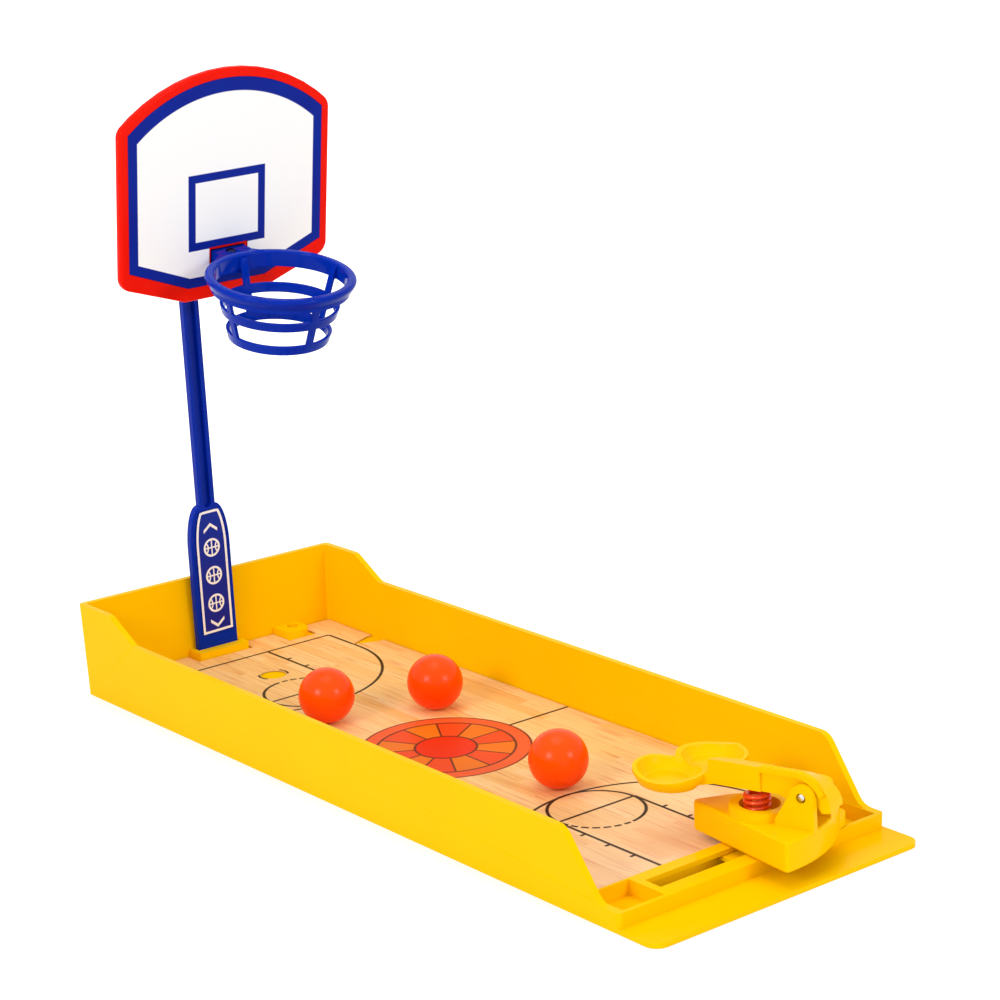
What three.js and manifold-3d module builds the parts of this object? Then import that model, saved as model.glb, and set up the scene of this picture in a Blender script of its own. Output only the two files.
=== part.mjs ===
// Tabletop basketball game: a tray with a printed court, a leaning goal on a plug-in pole,
// a swivelling spring launcher that slides along a slot, and three loose balls.
// Millimetres, +Z up, +Y from the player towards the basket, +X to the player's right.
// The origin is the centre of the tray's underside, on the table.

import * as THREE from 'three';
import { mergeVertices } from 'three/addons/utils/BufferGeometryUtils.js';
import Module from 'manifold-3d';

const wasm = await Module();
wasm.setup();

// Shared clearances
const fitGap = 0.3;
const restGap = 0.1;
const overrun = 1;

// Tray
const trayHalfWidth = 62.5;
const trayHalfLength = 167.3;
const wallDraft = 0.0272;
const wallThick = 2.6;
const outerCorner = 2;
const innerCorner = 1.2;
const rearHeight = 39.5;
const sideHeight = 30.1;
const frontHeight = 7.2;
const rearSlopeStart = 23.2;
const frontSlopeEnd = 9.8;
const slopeRun = 17.2;
const slopeRound = 7;
const floorTop = 4.5;
const floorThick = 2;
const apronDepth = 17.4;
const apronThick = 1.8;
const apronCorner = 5;

// Ribs and the centre pad under the floor
const ribThick = 1.6;
const longRibCount = 3;
const crossRibCount = 6;
const padRadius = 9;

// Front box: two rails with the launcher's slot between them, and a pocket at each end
const frontBoxDepth = 20.3;
const railThick = 1.8;
const slotInset = 7;
const slotWidth = 7.8;
const slotEndWall = 3.2;
const chamberWall = 1.8;
const pocketWidth = 18.4;
const pocketSideWall = 3.1;
const pocketRearWall = 1.1;
const pocketFloor = 1.5;

// Socket for the pole and the holed boss beside it
const socketHalfWidth = 12.5;
const socketReach = 11.6;
const socketTop = 8.3;
const socketFloor = 1.5;
const socketCorner = 1.2;
const bossFromSide = 26.2;
const bossFromRear = 9.3;
const bossRadius = 6.3;
const bossHoleAcross = 1.1;
const bossHoleBack = 2.4;
const bossHoleRadius = 2.6;

// Court sheet: a card that lies on the floor
const sheetThick = 0.5;
const sheetEdgeGap = 0.6;
const sheetCutGap = 1.4;
const sheetHoleX = -1.7;
const sheetHoleFromRear = 48.8;
const sheetHoleRadius = 5.5;
const notchReach = 17;
const notchMouth = 5.5;
const notchFromRear = 44.8;
const notchWidth = 9.5;

// Balls
const ballRadius = 11.16;
const leftBallX = -19.8;
const leftBallY = 53.8;
const rightBallX = 20.7;
const rightBallY = 36;
const frontBallX = -0.4;
const frontBallY = -64.8;

// Pole, as it stands in its socket
const poleX = -0.9;
const poleBehindSocket = 5;
const poleLean = -1.7;
const polePitch = 1.3;
const poleLength = 184;
const poleThick = 3.4;
const poleEdge = 0.4;
const stemHalfWidth = 3.6;
const paddleHalfWidth = 9.75;
const paddleHeight = 45;
const shoulderTop = 67;
const grooveHalfWidth = 1.85;
const grooveDepth = 1.9;
const grooveFoot = 65.5;
const footDepth = 6.5;
const labelInset = 2.3;
const labelThick = 0.3;
const labelFoot = 6.6;
const labelTop = 61;
const labelTopShare = 0.8;

// Backboard, as it stands on the pole's arm
const boardStandOff = 29;
const boardHeight = 166.2;
const boardTilt = 8.1;
const boardThick = 3.7;
const boardEdge = 1.2;
const boardMargin = 3.9;
const boardCorner = 6;
const bottomRoundShare = 0.3;
const bandHalfWidth = 45.8;
const bandLowerCorner = 9.1;
const bandBottom = -1.8;
const bandBottomHalf = 18.4;
const bandArcRadius = 69.3;
const bandArcCentre = 12.8;
const printThick = 0.3;

// Hoop
const hoopLevel = 13.4;
const hoopDroop = 3;
const hoopReach = 37.8;
const rimInnerRadius = 26.25;
const rimOuterRadius = 29.9;
const rimLip = 2.9;
const rimRound = 0.9;
const bandThick = 1.3;
const bandDepth = 5.8;
const ringThick = 1.4;
const middleRingTop = 12;
const middleRingHeight = 3.8;
const bottomRingTop = 22.5;
const bottomRingHeight = 4;
const bottomRingRadius = 19.9;
const ribHalfWidth = 1.6;
const netRibCount = 4;
const bracketHalfWidth = 9.2;
const bracketFlare = 14;
const bracketFlareDepth = 6;
const bracketDrop = 0.8;
const bracketHeight = 7.2;
const bracketGap = 0.7;

// Arm that carries the board and the hoop on the pole's top
const sleeveWall = 2.3;
const sleeveDepth = 16;
const flangeHalfWidth = 13;
const flangeThick = 2.2;
const flangeMargin = 3.4;
const tongueHalfWidth = 6;
const tongueThick = 3.4;
const tongueReach = 6;
const strutHalfWidth = 4.5;
const strutWeb = 2.2;
const strutFlange = 1.8;
const strutFootHeight = 13;
const strutHeadHeight = 11;

// Screw heads, and the screw in the hoop's bracket
const headCrownShare = 0.75;
const hoopScrewBack = 3;
const hoopScrewHeadRadius = 2;
const hoopScrewHeadHeight = 1.1;
const hoopScrewShankRadius = 0.8;

// Launcher's place on its slot
const sliderX = 12.2;
const launcherTurn = 20;

// Slide shoe under the rails
const shoeHalfLength = 14;
const shoeHalfWidth = 7;
const shoeThick = 1.9;
const collarHalfLength = 6;

// Swivel post, washer and screw
const postRadius = 2.3;
const hubRadius = 3.4;
const pilotRadius = 1.2;
const swivelShankRadius = 0.9;
const swivelShankReach = 6;
const washerRadius = 4.2;
const washerThick = 0.5;
const swivelHeadRadius = 2.4;
const swivelHeadHeight = 1.1;

// Launcher base
const baseTop = 18.5;
const baseWall = 2.2;
const baseEdge = 1;
const baseHalfWidth = 21.8;
const baseCornerY = -20;
const baseFrontBulge = 4.4;
const baseTipX = 0.6;
const baseTipY = 27.2;
const baseBulgeX = 13.6;
const baseBulgeY = 14.8;
const baseCorner = 1.6;
const tipCorner = 2.2;
const tabReach = 8;
const tabRadius = 4;
const tabTop = 12;
const bossRingOuter = 10.8;
const bossRingInner = 7.3;
const bossRingTop = 21.8;
const springSeat = 17.3;

// Ears and pin
const pivotY = -19;
const pivotZ = 29.5;
const earInner = 5.6;
const earThick = 2.9;
const earRadius = 4.6;
const earFrontY = -24;
const earRearY = -9.5;
const pinRadius = 1.5;

// Launching arm
const armHalfWidth = 5;
const armHeadHalfWidth = 6.3;
const armHeadRearY = -3;
const armFrontY = 16.7;
const armUnder = 28.3;
const armTop = 35;
const armTailY = -28.5;
const armTailLow = 24.6;
const armHubLow = 25.4;
const tailStartY = -16;
const tailPad = 3;
const hubHalf = 3;
const armEdge = 0.6;
const springNubRadius = 2.3;
const springNubHeight = 1.2;

// Ball cups at the arm's front
const leftCupX = -8.2;
const leftCupY = 30.4;
const rightCupX = 11;
const rightCupY = 23.5;
const cupRadius = 12.75;
const cupWall = 1.5;
const cupFloor = 1.4;
const cupUnder = 27;
const cupRim = 33;
const cupFootRadius = 8.6;
const cupSaddleRadius = 42;
const cupSaddleDrop = 1.4;
const neckInset = 2;

// Spring
const springY = 1;
const springRadius = 3.7;
const springWire = 1.5;
const springCurls = 3;
const curlSteps = 8;
const wireSides = 5;

// Facets
const ringFacets = 48;
const smallFacets = 20;
const cornerSteps = 4;
const arcSteps = 10;
const crownSteps = 16;
const edgeSteps = 2;
const ballFacets = 24;

const radians = THREE.MathUtils.degToRad;
const full = 2 * Math.PI;

// A closed mesh as a solid that can be joined and cut.
function solid(geometry) {
  const bare = geometry.clone();
  bare.deleteAttribute('normal');
  bare.deleteAttribute('uv');
  const merged = mergeVertices(bare);
  const index = merged.index.array;
  const kept = [];
  for (let i = 0; i < index.length; i += 3) {
    const [a, b, c] = [index[i], index[i + 1], index[i + 2]];
    if (a !== b && b !== c && c !== a) kept.push(a, b, c);
  }
  return new wasm.Manifold(new wasm.Mesh({
    numProp: 3,
    vertProperties: new Float32Array(merged.attributes.position.array),
    triVerts: new Uint32Array(kept)
  }));
}

function joined(first, ...rest) {
  return rest.reduce((whole, piece) => whole.add(piece), first);
}

function cut(first, ...tools) {
  return tools.reduce((whole, tool) => whole.subtract(tool), first);
}

function geometryOf(body) {
  const mesh = body.getMesh();
  const geometry = new THREE.BufferGeometry();
  geometry.setAttribute('position', new THREE.BufferAttribute(mesh.vertProperties, 3));
  geometry.setIndex(new THREE.BufferAttribute(mesh.triVerts, 1));
  geometry.computeVertexNormals();
  return geometry;
}

function piece(name, body, material) {
  const mesh = new THREE.Mesh(geometryOf(body), material);
  mesh.name = name;
  return mesh;
}

// Outline points from corners [x, y, radius]; a corner with a radius becomes an arc.
function outline(corners) {
  const points = [];
  corners.forEach(([x, y, radius = 0], i) => {
    const here = new THREE.Vector2(x, y);
    if (radius === 0) {
      points.push(here);
      return;
    }
    const [beforeX, beforeY] = corners[(i + corners.length - 1) % corners.length];
    const [afterX, afterY] = corners[(i + 1) % corners.length];
    const back = new THREE.Vector2(beforeX, beforeY).sub(here).normalize();
    const ahead = new THREE.Vector2(afterX, afterY).sub(here).normalize();
    const half = Math.acos(back.dot(ahead)) / 2;
    const centre = back.clone().add(ahead).setLength(radius / Math.sin(half)).add(here);
    const start = back.clone().multiplyScalar(radius / Math.tan(half)).add(here).sub(centre).angle();
    const end = ahead.clone().multiplyScalar(radius / Math.tan(half)).add(here).sub(centre).angle();
    const sweep = Math.atan2(Math.sin(end - start), Math.cos(end - start));
    for (let k = 0; k <= cornerSteps; k++) {
      const angle = start + sweep * k / cornerSteps;
      points.push(new THREE.Vector2(Math.cos(angle), Math.sin(angle)).multiplyScalar(radius).add(centre));
    }
  });
  return points;
}

function rectangle(lowX, highX, lowY, highY, radius = 0) {
  return outline([
    [lowX, lowY, radius], [highX, lowY, radius], [highX, highY, radius], [lowX, highY, radius]
  ]);
}

function arcPoints(centreX, centreY, radius, from, to, steps) {
  return Array.from({ length: steps + 1 }, (_, k) => {
    const angle = from + (to - from) * k / steps;
    return [centreX + radius * Math.cos(angle), centreY + radius * Math.sin(angle)];
  });
}

// The same counter-clockwise outline moved inwards by one distance all round.
function inset(points, distance) {
  return points.map((point, i) => {
    const before = points[(i + points.length - 1) % points.length];
    const after = points[(i + 1) % points.length];
    const inward = (from, to) => new THREE.Vector2(from.y - to.y, to.x - from.x).normalize();
    const first = inward(before, point);
    const second = inward(point, after);
    const mitre = first.clone().add(second).normalize();
    return mitre.multiplyScalar(distance / mitre.dot(first)).add(point);
  });
}

// A prism that stands on its outline, from low to high, with an optional rounded edge.
function standing(points, low, high, edge = 0) {
  const geometry = new THREE.ExtrudeGeometry(new THREE.Shape(points), {
    depth: high - low - 2 * edge,
    bevelEnabled: edge > 0,
    bevelThickness: edge,
    bevelSize: edge,
    bevelOffset: -edge,
    bevelSegments: edgeSteps
  });
  return geometry.translate(0, 0, low + edge);
}

// A prism with its outline in X and Z, from one Y to another.
function fromFront(points, lowY, highY, edge = 0) {
  return standing(points, -highY, -lowY, edge).rotateX(Math.PI / 2);
}

// A prism with its outline in Y and Z, from one X to another.
function fromSide(points, lowX, highX, edge = 0) {
  const basis = new THREE.Matrix4().makeBasis(
    new THREE.Vector3(0, 1, 0), new THREE.Vector3(0, 0, 1), new THREE.Vector3(1, 0, 0));
  return standing(points, lowX, highX, edge).applyMatrix4(basis);
}

// A turned form about the Z axis from its profile of [radius, height] points.
function turned(profile, facets = ringFacets) {
  const points = profile.map(([radius, height]) => new THREE.Vector2(radius, height));
  return new THREE.LatheGeometry(points, facets).rotateX(Math.PI / 2);
}

function rod(radius, low, high, facets = smallFacets) {
  return turned([[0, low], [radius, low], [radius, high], [0, high]], facets);
}

// Side walls lean outwards and so does the rear wall.
function drafted(geometry) {
  const place = geometry.attributes.position;
  for (let i = 0; i < place.count; i++) {
    const lean = wallDraft * place.getZ(i);
    place.setX(i, place.getX(i) + Math.sign(place.getX(i)) * lean);
    if (place.getY(i) > 0) place.setY(i, place.getY(i) + lean);
  }
  return geometry;
}

const yellow = new THREE.MeshStandardMaterial({ color: 0xffc800, roughness: 0.35, metalness: 0 });
const blue = new THREE.MeshStandardMaterial({ color: 0x0a28aa, roughness: 0.25, metalness: 0 });
const red = new THREE.MeshStandardMaterial({ color: 0xfa1e0a, roughness: 0.3, metalness: 0 });
const orange = new THREE.MeshStandardMaterial({ color: 0xff5a00, roughness: 0.3, metalness: 0 });
const woodPrint = new THREE.MeshStandardMaterial({ color: 0xfccd96, roughness: 0.5, metalness: 0 });
const whitePrint = new THREE.MeshStandardMaterial({ color: 0xf8f8f8, roughness: 0.4, metalness: 0 });
const bluePrint = new THREE.MeshStandardMaterial({ color: 0x121c78, roughness: 0.4, metalness: 0 });
const steel = new THREE.MeshStandardMaterial({ color: 0xc4c6c8, roughness: 0.25, metalness: 1 });
const copperWire = new THREE.MeshStandardMaterial({ color: 0xd8421e, roughness: 0.25, metalness: 0.7 });

// Tray: one moulding, cut out of a leaning block by its side profile
const trayReach = trayHalfLength + overrun;
const innerHalfWidth = trayHalfWidth - wallThick;
const innerRearY = trayHalfLength - wallThick;
const rearSlopeTopY = trayHalfLength - rearSlopeStart;
const rearSlopeFootY = rearSlopeTopY - slopeRun;
const frontSlopeFootY = frontSlopeEnd - trayHalfLength;
const frontSlopeTopY = frontSlopeFootY + slopeRun;
const railEdgeY = frontBoxDepth - trayHalfLength;

function trayShell() {
  const block = drafted(standing(outline([
    [-trayHalfWidth, -trayHalfLength, outerCorner], [trayHalfWidth, -trayHalfLength, outerCorner],
    [trayHalfWidth, trayHalfLength, outerCorner], [-trayHalfWidth, trayHalfLength, outerCorner]
  ]), 0, rearHeight + overrun));
  const reachX = trayHalfWidth + rearHeight;
  const wallTops = outline([
    [-trayReach, -overrun], [trayReach + overrun, -overrun], [trayReach + overrun, rearHeight],
    [rearSlopeTopY, rearHeight, slopeRound], [rearSlopeFootY, sideHeight, slopeRound],
    [frontSlopeTopY, sideHeight, slopeRound], [frontSlopeFootY, frontHeight, slopeRound],
    [-trayReach, frontHeight]
  ]);
  const cavity = drafted(standing(outline([
    [-innerHalfWidth, -trayReach], [innerHalfWidth, -trayReach],
    [innerHalfWidth, innerRearY, innerCorner], [-innerHalfWidth, innerRearY, innerCorner]
  ]), 0, rearHeight + 2 * overrun));
  const cavityProfile = outline([
    [railEdgeY, floorTop], [trayReach, floorTop], [trayReach, rearHeight + 3 * overrun],
    [-trayReach - overrun, rearHeight + 3 * overrun], [-trayReach - overrun, frontHeight],
    [railEdgeY, frontHeight]
  ]);
  const walls = solid(block).intersect(solid(fromSide(wallTops, -reachX, reachX)));
  const hollow = solid(cavity).intersect(solid(fromSide(cavityProfile, -reachX, reachX)));
  return cut(walls, hollow);
}

// The free spans that evenly spaced ribs leave between two walls.
function spans(low, high, ribCount) {
  const pitch = (high - low + ribThick) / (ribCount + 1);
  return Array.from({ length: ribCount + 1 }, (_, i) => [low + pitch * i, low + pitch * (i + 1) - ribThick]);
}

// The cells under the floor, with ribs between them and solid stock under the socket and at the centre.
function floorCells(socketStock) {
  const across = spans(-innerHalfWidth, innerHalfWidth, longRibCount);
  const along = spans(railEdgeY + chamberWall, innerRearY, crossRibCount);
  const cells = across.flatMap(([lowX, highX]) => along.map(([lowY, highY]) => solid(
    standing(rectangle(lowX, highX, lowY, highY), -overrun, floorTop - floorThick))));
  return cut(joined(...cells), solid(rod(padRadius, -2 * overrun, floorTop)), socketStock);
}

const slotFrontY = slotInset - trayHalfLength;
const slotRearY = slotFrontY + slotWidth;
const pocketOuterX = trayHalfWidth - pocketSideWall;
const pocketInnerX = pocketOuterX - pocketWidth;
const slotHalfLength = pocketInnerX - slotEndWall;

function frontBoxCuts() {
  const slot = standing(rectangle(-slotHalfLength, slotHalfLength, slotFrontY, slotRearY),
    -overrun, frontHeight + overrun);
  const chamber = standing(rectangle(-slotHalfLength, slotHalfLength,
    -trayHalfLength + chamberWall, railEdgeY - chamberWall), -overrun, frontHeight - railThick);
  const pockets = [-1, 1].map((side) => {
    const [low, high] = [side * pocketInnerX, side * pocketOuterX].sort((a, b) => a - b);
    return standing(rectangle(low, high, chamberWall - trayHalfLength, railEdgeY - pocketRearWall),
      pocketFloor, frontHeight + overrun);
  });
  return [slot, chamber, ...pockets].map(solid);
}

const socketFrontY = trayHalfLength - socketReach;
const poleFrontY = socketFrontY + poleBehindSocket;
const bossX = trayHalfWidth - bossFromSide;
const bossY = trayHalfLength - bossFromRear;
const footLean = footDepth * Math.tan(radians(Math.max(Math.abs(poleLean), Math.abs(polePitch))));

function buildTray() {
  const socketShape = outline([
    [poleX - socketHalfWidth, socketFrontY, socketCorner],
    [poleX + socketHalfWidth, socketFrontY, socketCorner],
    [poleX + socketHalfWidth, trayHalfLength - wallThick / 2],
    [poleX - socketHalfWidth, trayHalfLength - wallThick / 2]
  ]);
  const socket = standing(socketShape, floorTop - floorThick / 2, socketTop);
  const socketStock = solid(standing(socketShape, -2 * overrun, floorTop));
  const bossWallY = innerRearY + wallThick / 2;
  const boss = standing(outline([
    ...arcPoints(bossX, bossY, bossRadius, -full / 2, 0, arcSteps), [bossX + bossRadius, bossWallY],
    [bossX - bossRadius, bossWallY]
  ]), floorTop - floorThick / 2, socketTop);
  const socketPocket = standing(rectangle(
    poleX - paddleHalfWidth - fitGap - footLean, poleX + paddleHalfWidth + fitGap + footLean,
    poleFrontY - fitGap, poleFrontY + poleThick + fitGap + footLean), socketFloor, socketTop + overrun);
  const bossHole = rod(bossHoleRadius, floorTop, socketTop + overrun)
    .translate(bossX + bossHoleAcross, bossY + bossHoleBack, 0);
  const apron = standing(outline([
    [-trayHalfWidth, -trayHalfLength - apronDepth, apronCorner],
    [trayHalfWidth, -trayHalfLength - apronDepth, apronCorner],
    [trayHalfWidth, -trayHalfLength + chamberWall / 2], [-trayHalfWidth, -trayHalfLength + chamberWall / 2]
  ]), 0, apronThick);
  const plain = joined(trayShell(), solid(socket), solid(boss), solid(apron));
  return cut(plain, floorCells(socketStock), ...frontBoxCuts(), solid(socketPocket), solid(bossHole));
}

// Court sheet: cut out round the socket and the boss, with a round hole and a notch at one side
const sheetLow = floorTop + fitGap;
const sheetTop = sheetLow + sheetThick;

function buildSheet() {
  const edgeX = innerHalfWidth + wallDraft * sheetLow - sheetEdgeGap;
  const [low, high] = [sheetLow - overrun, sheetTop + overrun];
  const card = standing(rectangle(-edgeX, edgeX, railEdgeY + sheetEdgeGap, innerRearY - sheetEdgeGap),
    sheetLow, sheetTop);
  const socketCut = standing(rectangle(
    poleX - socketHalfWidth - sheetCutGap, poleX + socketHalfWidth + sheetCutGap,
    socketFrontY - sheetEdgeGap, trayHalfLength), low, high);
  const bossCut = standing(rectangle(
    bossX - bossRadius - sheetEdgeGap, bossX + bossRadius + sheetCutGap,
    bossY - bossRadius - sheetEdgeGap, trayHalfLength), low, high);
  const hole = rod(sheetHoleRadius, low, high).translate(sheetHoleX, trayHalfLength - sheetHoleFromRear, 0);
  const notchFrontY = trayHalfLength - notchFromRear;
  const notchRearY = notchFrontY + notchWidth;
  const mouthX = trayHalfWidth - notchMouth;
  const notch = standing(outline([
    [trayHalfWidth - notchReach, notchFrontY + notchWidth / 2], [mouthX, notchFrontY],
    [edgeX + overrun, notchFrontY], [edgeX + overrun, notchRearY], [mouthX, notchRearY]
  ]), low, high);
  return cut(solid(card), solid(socketCut), solid(bossCut), solid(hole), solid(notch));
}

function buildBall() {
  return solid(new THREE.SphereGeometry(ballRadius, ballFacets, ballFacets / 2).rotateX(Math.PI / 2));
}

// Pole: a narrow grooved stem that widens with round shoulders into a flat paddle
const shoulderShares = [[1, 0], [0.97, 0.22], [0.86, 0.42], [0.66, 0.6], [0.4, 0.76], [0.16, 0.89], [0, 1]];

function paddleSide(side, margin, from, to) {
  const wide = paddleHalfWidth - stemHalfWidth;
  const curve = shoulderShares.map(([out, up]) => [
    side * (stemHalfWidth + wide * out - margin), paddleHeight + (shoulderTop - paddleHeight) * up]);
  return [[side * (paddleHalfWidth - margin), from], ...curve.filter(([, z]) => z < to)];
}

function buildPole() {
  const right = [...paddleSide(1, 0, -footDepth, poleLength), [stemHalfWidth, poleLength]];
  const left = right.map(([x, z]) => [-x, z]).reverse();
  const body = fromFront(outline([...right, ...left]), 0, poleThick, poleEdge);
  const groove = fromFront(outline([
    [-grooveHalfWidth, grooveFoot, grooveHalfWidth - restGap],
    [grooveHalfWidth, grooveFoot, grooveHalfWidth - restGap],
    [grooveHalfWidth, poleLength + overrun], [-grooveHalfWidth, poleLength + overrun]
  ]), -overrun, grooveDepth);
  return cut(solid(body), solid(groove));
}

function buildLabel() {
  const right = paddleSide(1, labelInset, labelFoot, labelTop);
  const last = right[right.length - 1];
  right.push([last[0] * labelTopShare, labelTop]);
  const left = right.map(([x, z]) => [-x, z]).reverse();
  return solid(fromFront(outline([...right, ...left]), -fitGap - labelThick, -fitGap));
}

// Backboard: straight sides, a low bowed top and a bottom edge that comes to a short flat
function boardCorners(margin, radius) {
  const slope = (bandLowerCorner - bandBottom) / (bandHalfWidth - bandBottomHalf);
  const slant = Math.hypot(1, slope);
  const halfWidth = bandHalfWidth + margin;
  const lower = bandBottom + (halfWidth - bandBottomHalf) * slope - margin * slant;
  const flat = bandBottomHalf + margin * (slant - 1) / slope;
  const arcRadius = bandArcRadius + margin;
  const half = Math.asin(halfWidth / arcRadius);
  const top = arcPoints(0, bandArcCentre, arcRadius, full / 4 - half, full / 4 + half, crownSteps);
  const crown = top.map(([x, z], i) => [x, z, i === 0 || i === top.length - 1 ? radius : 0]);
  return [[-halfWidth, lower, radius], [-flat, bandBottom - margin, radius * bottomRoundShare],
    [flat, bandBottom - margin, radius * bottomRoundShare], [halfWidth, lower, radius], ...crown];
}

const recessDepth = printThick + fitGap;
const bracketLean = boardThick * Math.sin(radians(hoopDroop));
const cutoutHalfWidth = bracketHalfWidth + bracketGap;
const cutoutLow = hoopLevel - bracketDrop - bracketHeight - fitGap;
const cutoutHigh = hoopLevel - bracketDrop + bracketGap + bracketLean;

function bracketOpening() {
  return solid(fromFront(rectangle(-cutoutHalfWidth, cutoutHalfWidth, cutoutLow, cutoutHigh),
    -overrun, boardThick + overrun));
}

function buildBoard() {
  const body = fromFront(outline(boardCorners(boardMargin, boardCorner)), 0, boardThick, boardEdge);
  const recess = fromFront(outline(boardCorners(fitGap, 0)), -overrun, recessDepth);
  return cut(solid(body), solid(recess), bracketOpening());
}

function buildPrint() {
  return cut(solid(fromFront(outline(boardCorners(0, 0)), 0, printThick)), bracketOpening());
}

// Hoop: a rolled rim with an inner band, and two rings hung on tapering ribs
const bandFoot = -bandDepth;
const netFoot = -bottomRingTop - bottomRingHeight;
const bracketTop = -bracketDrop;
const bracketLow = bracketTop - bracketHeight;
const bracketRearY = boardThick + bracketLow * Math.sin(radians(hoopDroop));
const tongueMid = bracketLow + bracketHeight / 2 - fitGap;

function netRadius(z) {
  const top = rimInnerRadius + bandThick;
  return top + (bottomRingRadius - top) * (bandFoot - z) / (bandFoot - netFoot);
}

function ringBand(top, height) {
  const foot = top - height;
  return turned([
    [netRadius(foot) - ringThick, foot], [netRadius(foot), foot],
    [netRadius(top), top], [netRadius(top) - ringThick, top], [netRadius(foot) - ringThick, foot]
  ]);
}

function buildHoop() {
  const bandOuter = rimInnerRadius + bandThick;
  const rim = turned([
    [rimInnerRadius, bandFoot], [bandOuter, bandFoot], [bandOuter, -rimLip],
    [rimOuterRadius - rimRound, -rimLip], [rimOuterRadius, -rimLip + rimRound], [rimOuterRadius, -rimRound],
    [rimOuterRadius - rimRound, 0], [rimInnerRadius + rimRound, 0], [rimInnerRadius, -rimRound],
    [rimInnerRadius, bandFoot]
  ]);
  const ribTop = bandFoot + bandThick;
  const ribSection = outline([
    [netRadius(netFoot) - ringThick, netFoot], [netRadius(netFoot), netFoot],
    [netRadius(bandFoot), bandFoot], [netRadius(bandFoot), ribTop],
    [netRadius(bandFoot) - bandThick, ribTop], [netRadius(bandFoot) - ringThick, bandFoot]
  ]);
  const netRibs = Array.from({ length: netRibCount }, (_, k) => solid(
    fromFront(ribSection, -ribHalfWidth, ribHalfWidth).rotateZ(full * k / netRibCount)));
  const ring = joined(solid(rim), solid(ringBand(-middleRingTop, middleRingHeight)),
    solid(ringBand(-bottomRingTop, bottomRingHeight)), ...netRibs);
  const flareY = rimOuterRadius - hoopReach;
  const bracket = standing(outline([
    [-bracketFlare, flareY - bracketFlareDepth / 2], [bracketFlare, flareY - bracketFlareDepth / 2],
    [bracketHalfWidth, flareY + bracketFlareDepth / 2], [bracketHalfWidth, bracketRearY],
    [-bracketHalfWidth, bracketRearY], [-bracketHalfWidth, flareY + bracketFlareDepth / 2]
  ]), bracketLow, bracketTop);
  const throat = rod(rimInnerRadius + restGap, bracketLow - overrun, overrun, ringFacets)
    .translate(0, -hoopReach, 0);
  const tonguePocket = fromFront(rectangle(
    -tongueHalfWidth - fitGap, tongueHalfWidth + fitGap,
    tongueMid - tongueThick / 2 - fitGap, tongueMid + tongueThick / 2 + fitGap),
  -tongueReach - fitGap, boardThick + overrun);
  const screwHole = rod(hoopScrewShankRadius + fitGap, tongueMid, overrun).translate(0, -hoopScrewBack, 0);
  const headSeat = rod(hoopScrewHeadRadius + fitGap, bracketTop - hoopScrewHeadHeight, overrun)
    .translate(0, -hoopScrewBack, 0);
  const block = cut(solid(bracket), solid(throat));
  const net = ring.translate([0, -hoopReach, 0]);
  return cut(joined(net, block), solid(tonguePocket), solid(screwHole), solid(headSeat));
}

function buildHoopScrew() {
  const headLow = bracketTop - hoopScrewHeadHeight + fitGap;
  const shankFoot = tongueMid - tongueThick / 2 + fitGap;
  const screw = turned([
    [0, shankFoot], [hoopScrewShankRadius, shankFoot], [hoopScrewShankRadius, headLow],
    [hoopScrewHeadRadius, headLow], [hoopScrewHeadRadius * headCrownShare, headLow + hoopScrewHeadHeight],
    [0, headLow + hoopScrewHeadHeight]
  ], smallFacets);
  return solid(screw.translate(0, -hoopScrewBack, 0));
}

// Arm behind the board: a sleeve over the pole's top, a strut, and a flange with a tongue for the hoop
const boardPlace = new THREE.Matrix4().makeRotationX(radians(boardTilt))
  .setPosition(0, -boardStandOff, boardHeight);
const hoopPlace = new THREE.Matrix4().makeRotationX(radians(hoopDroop)).setPosition(0, 0, hoopLevel);

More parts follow.
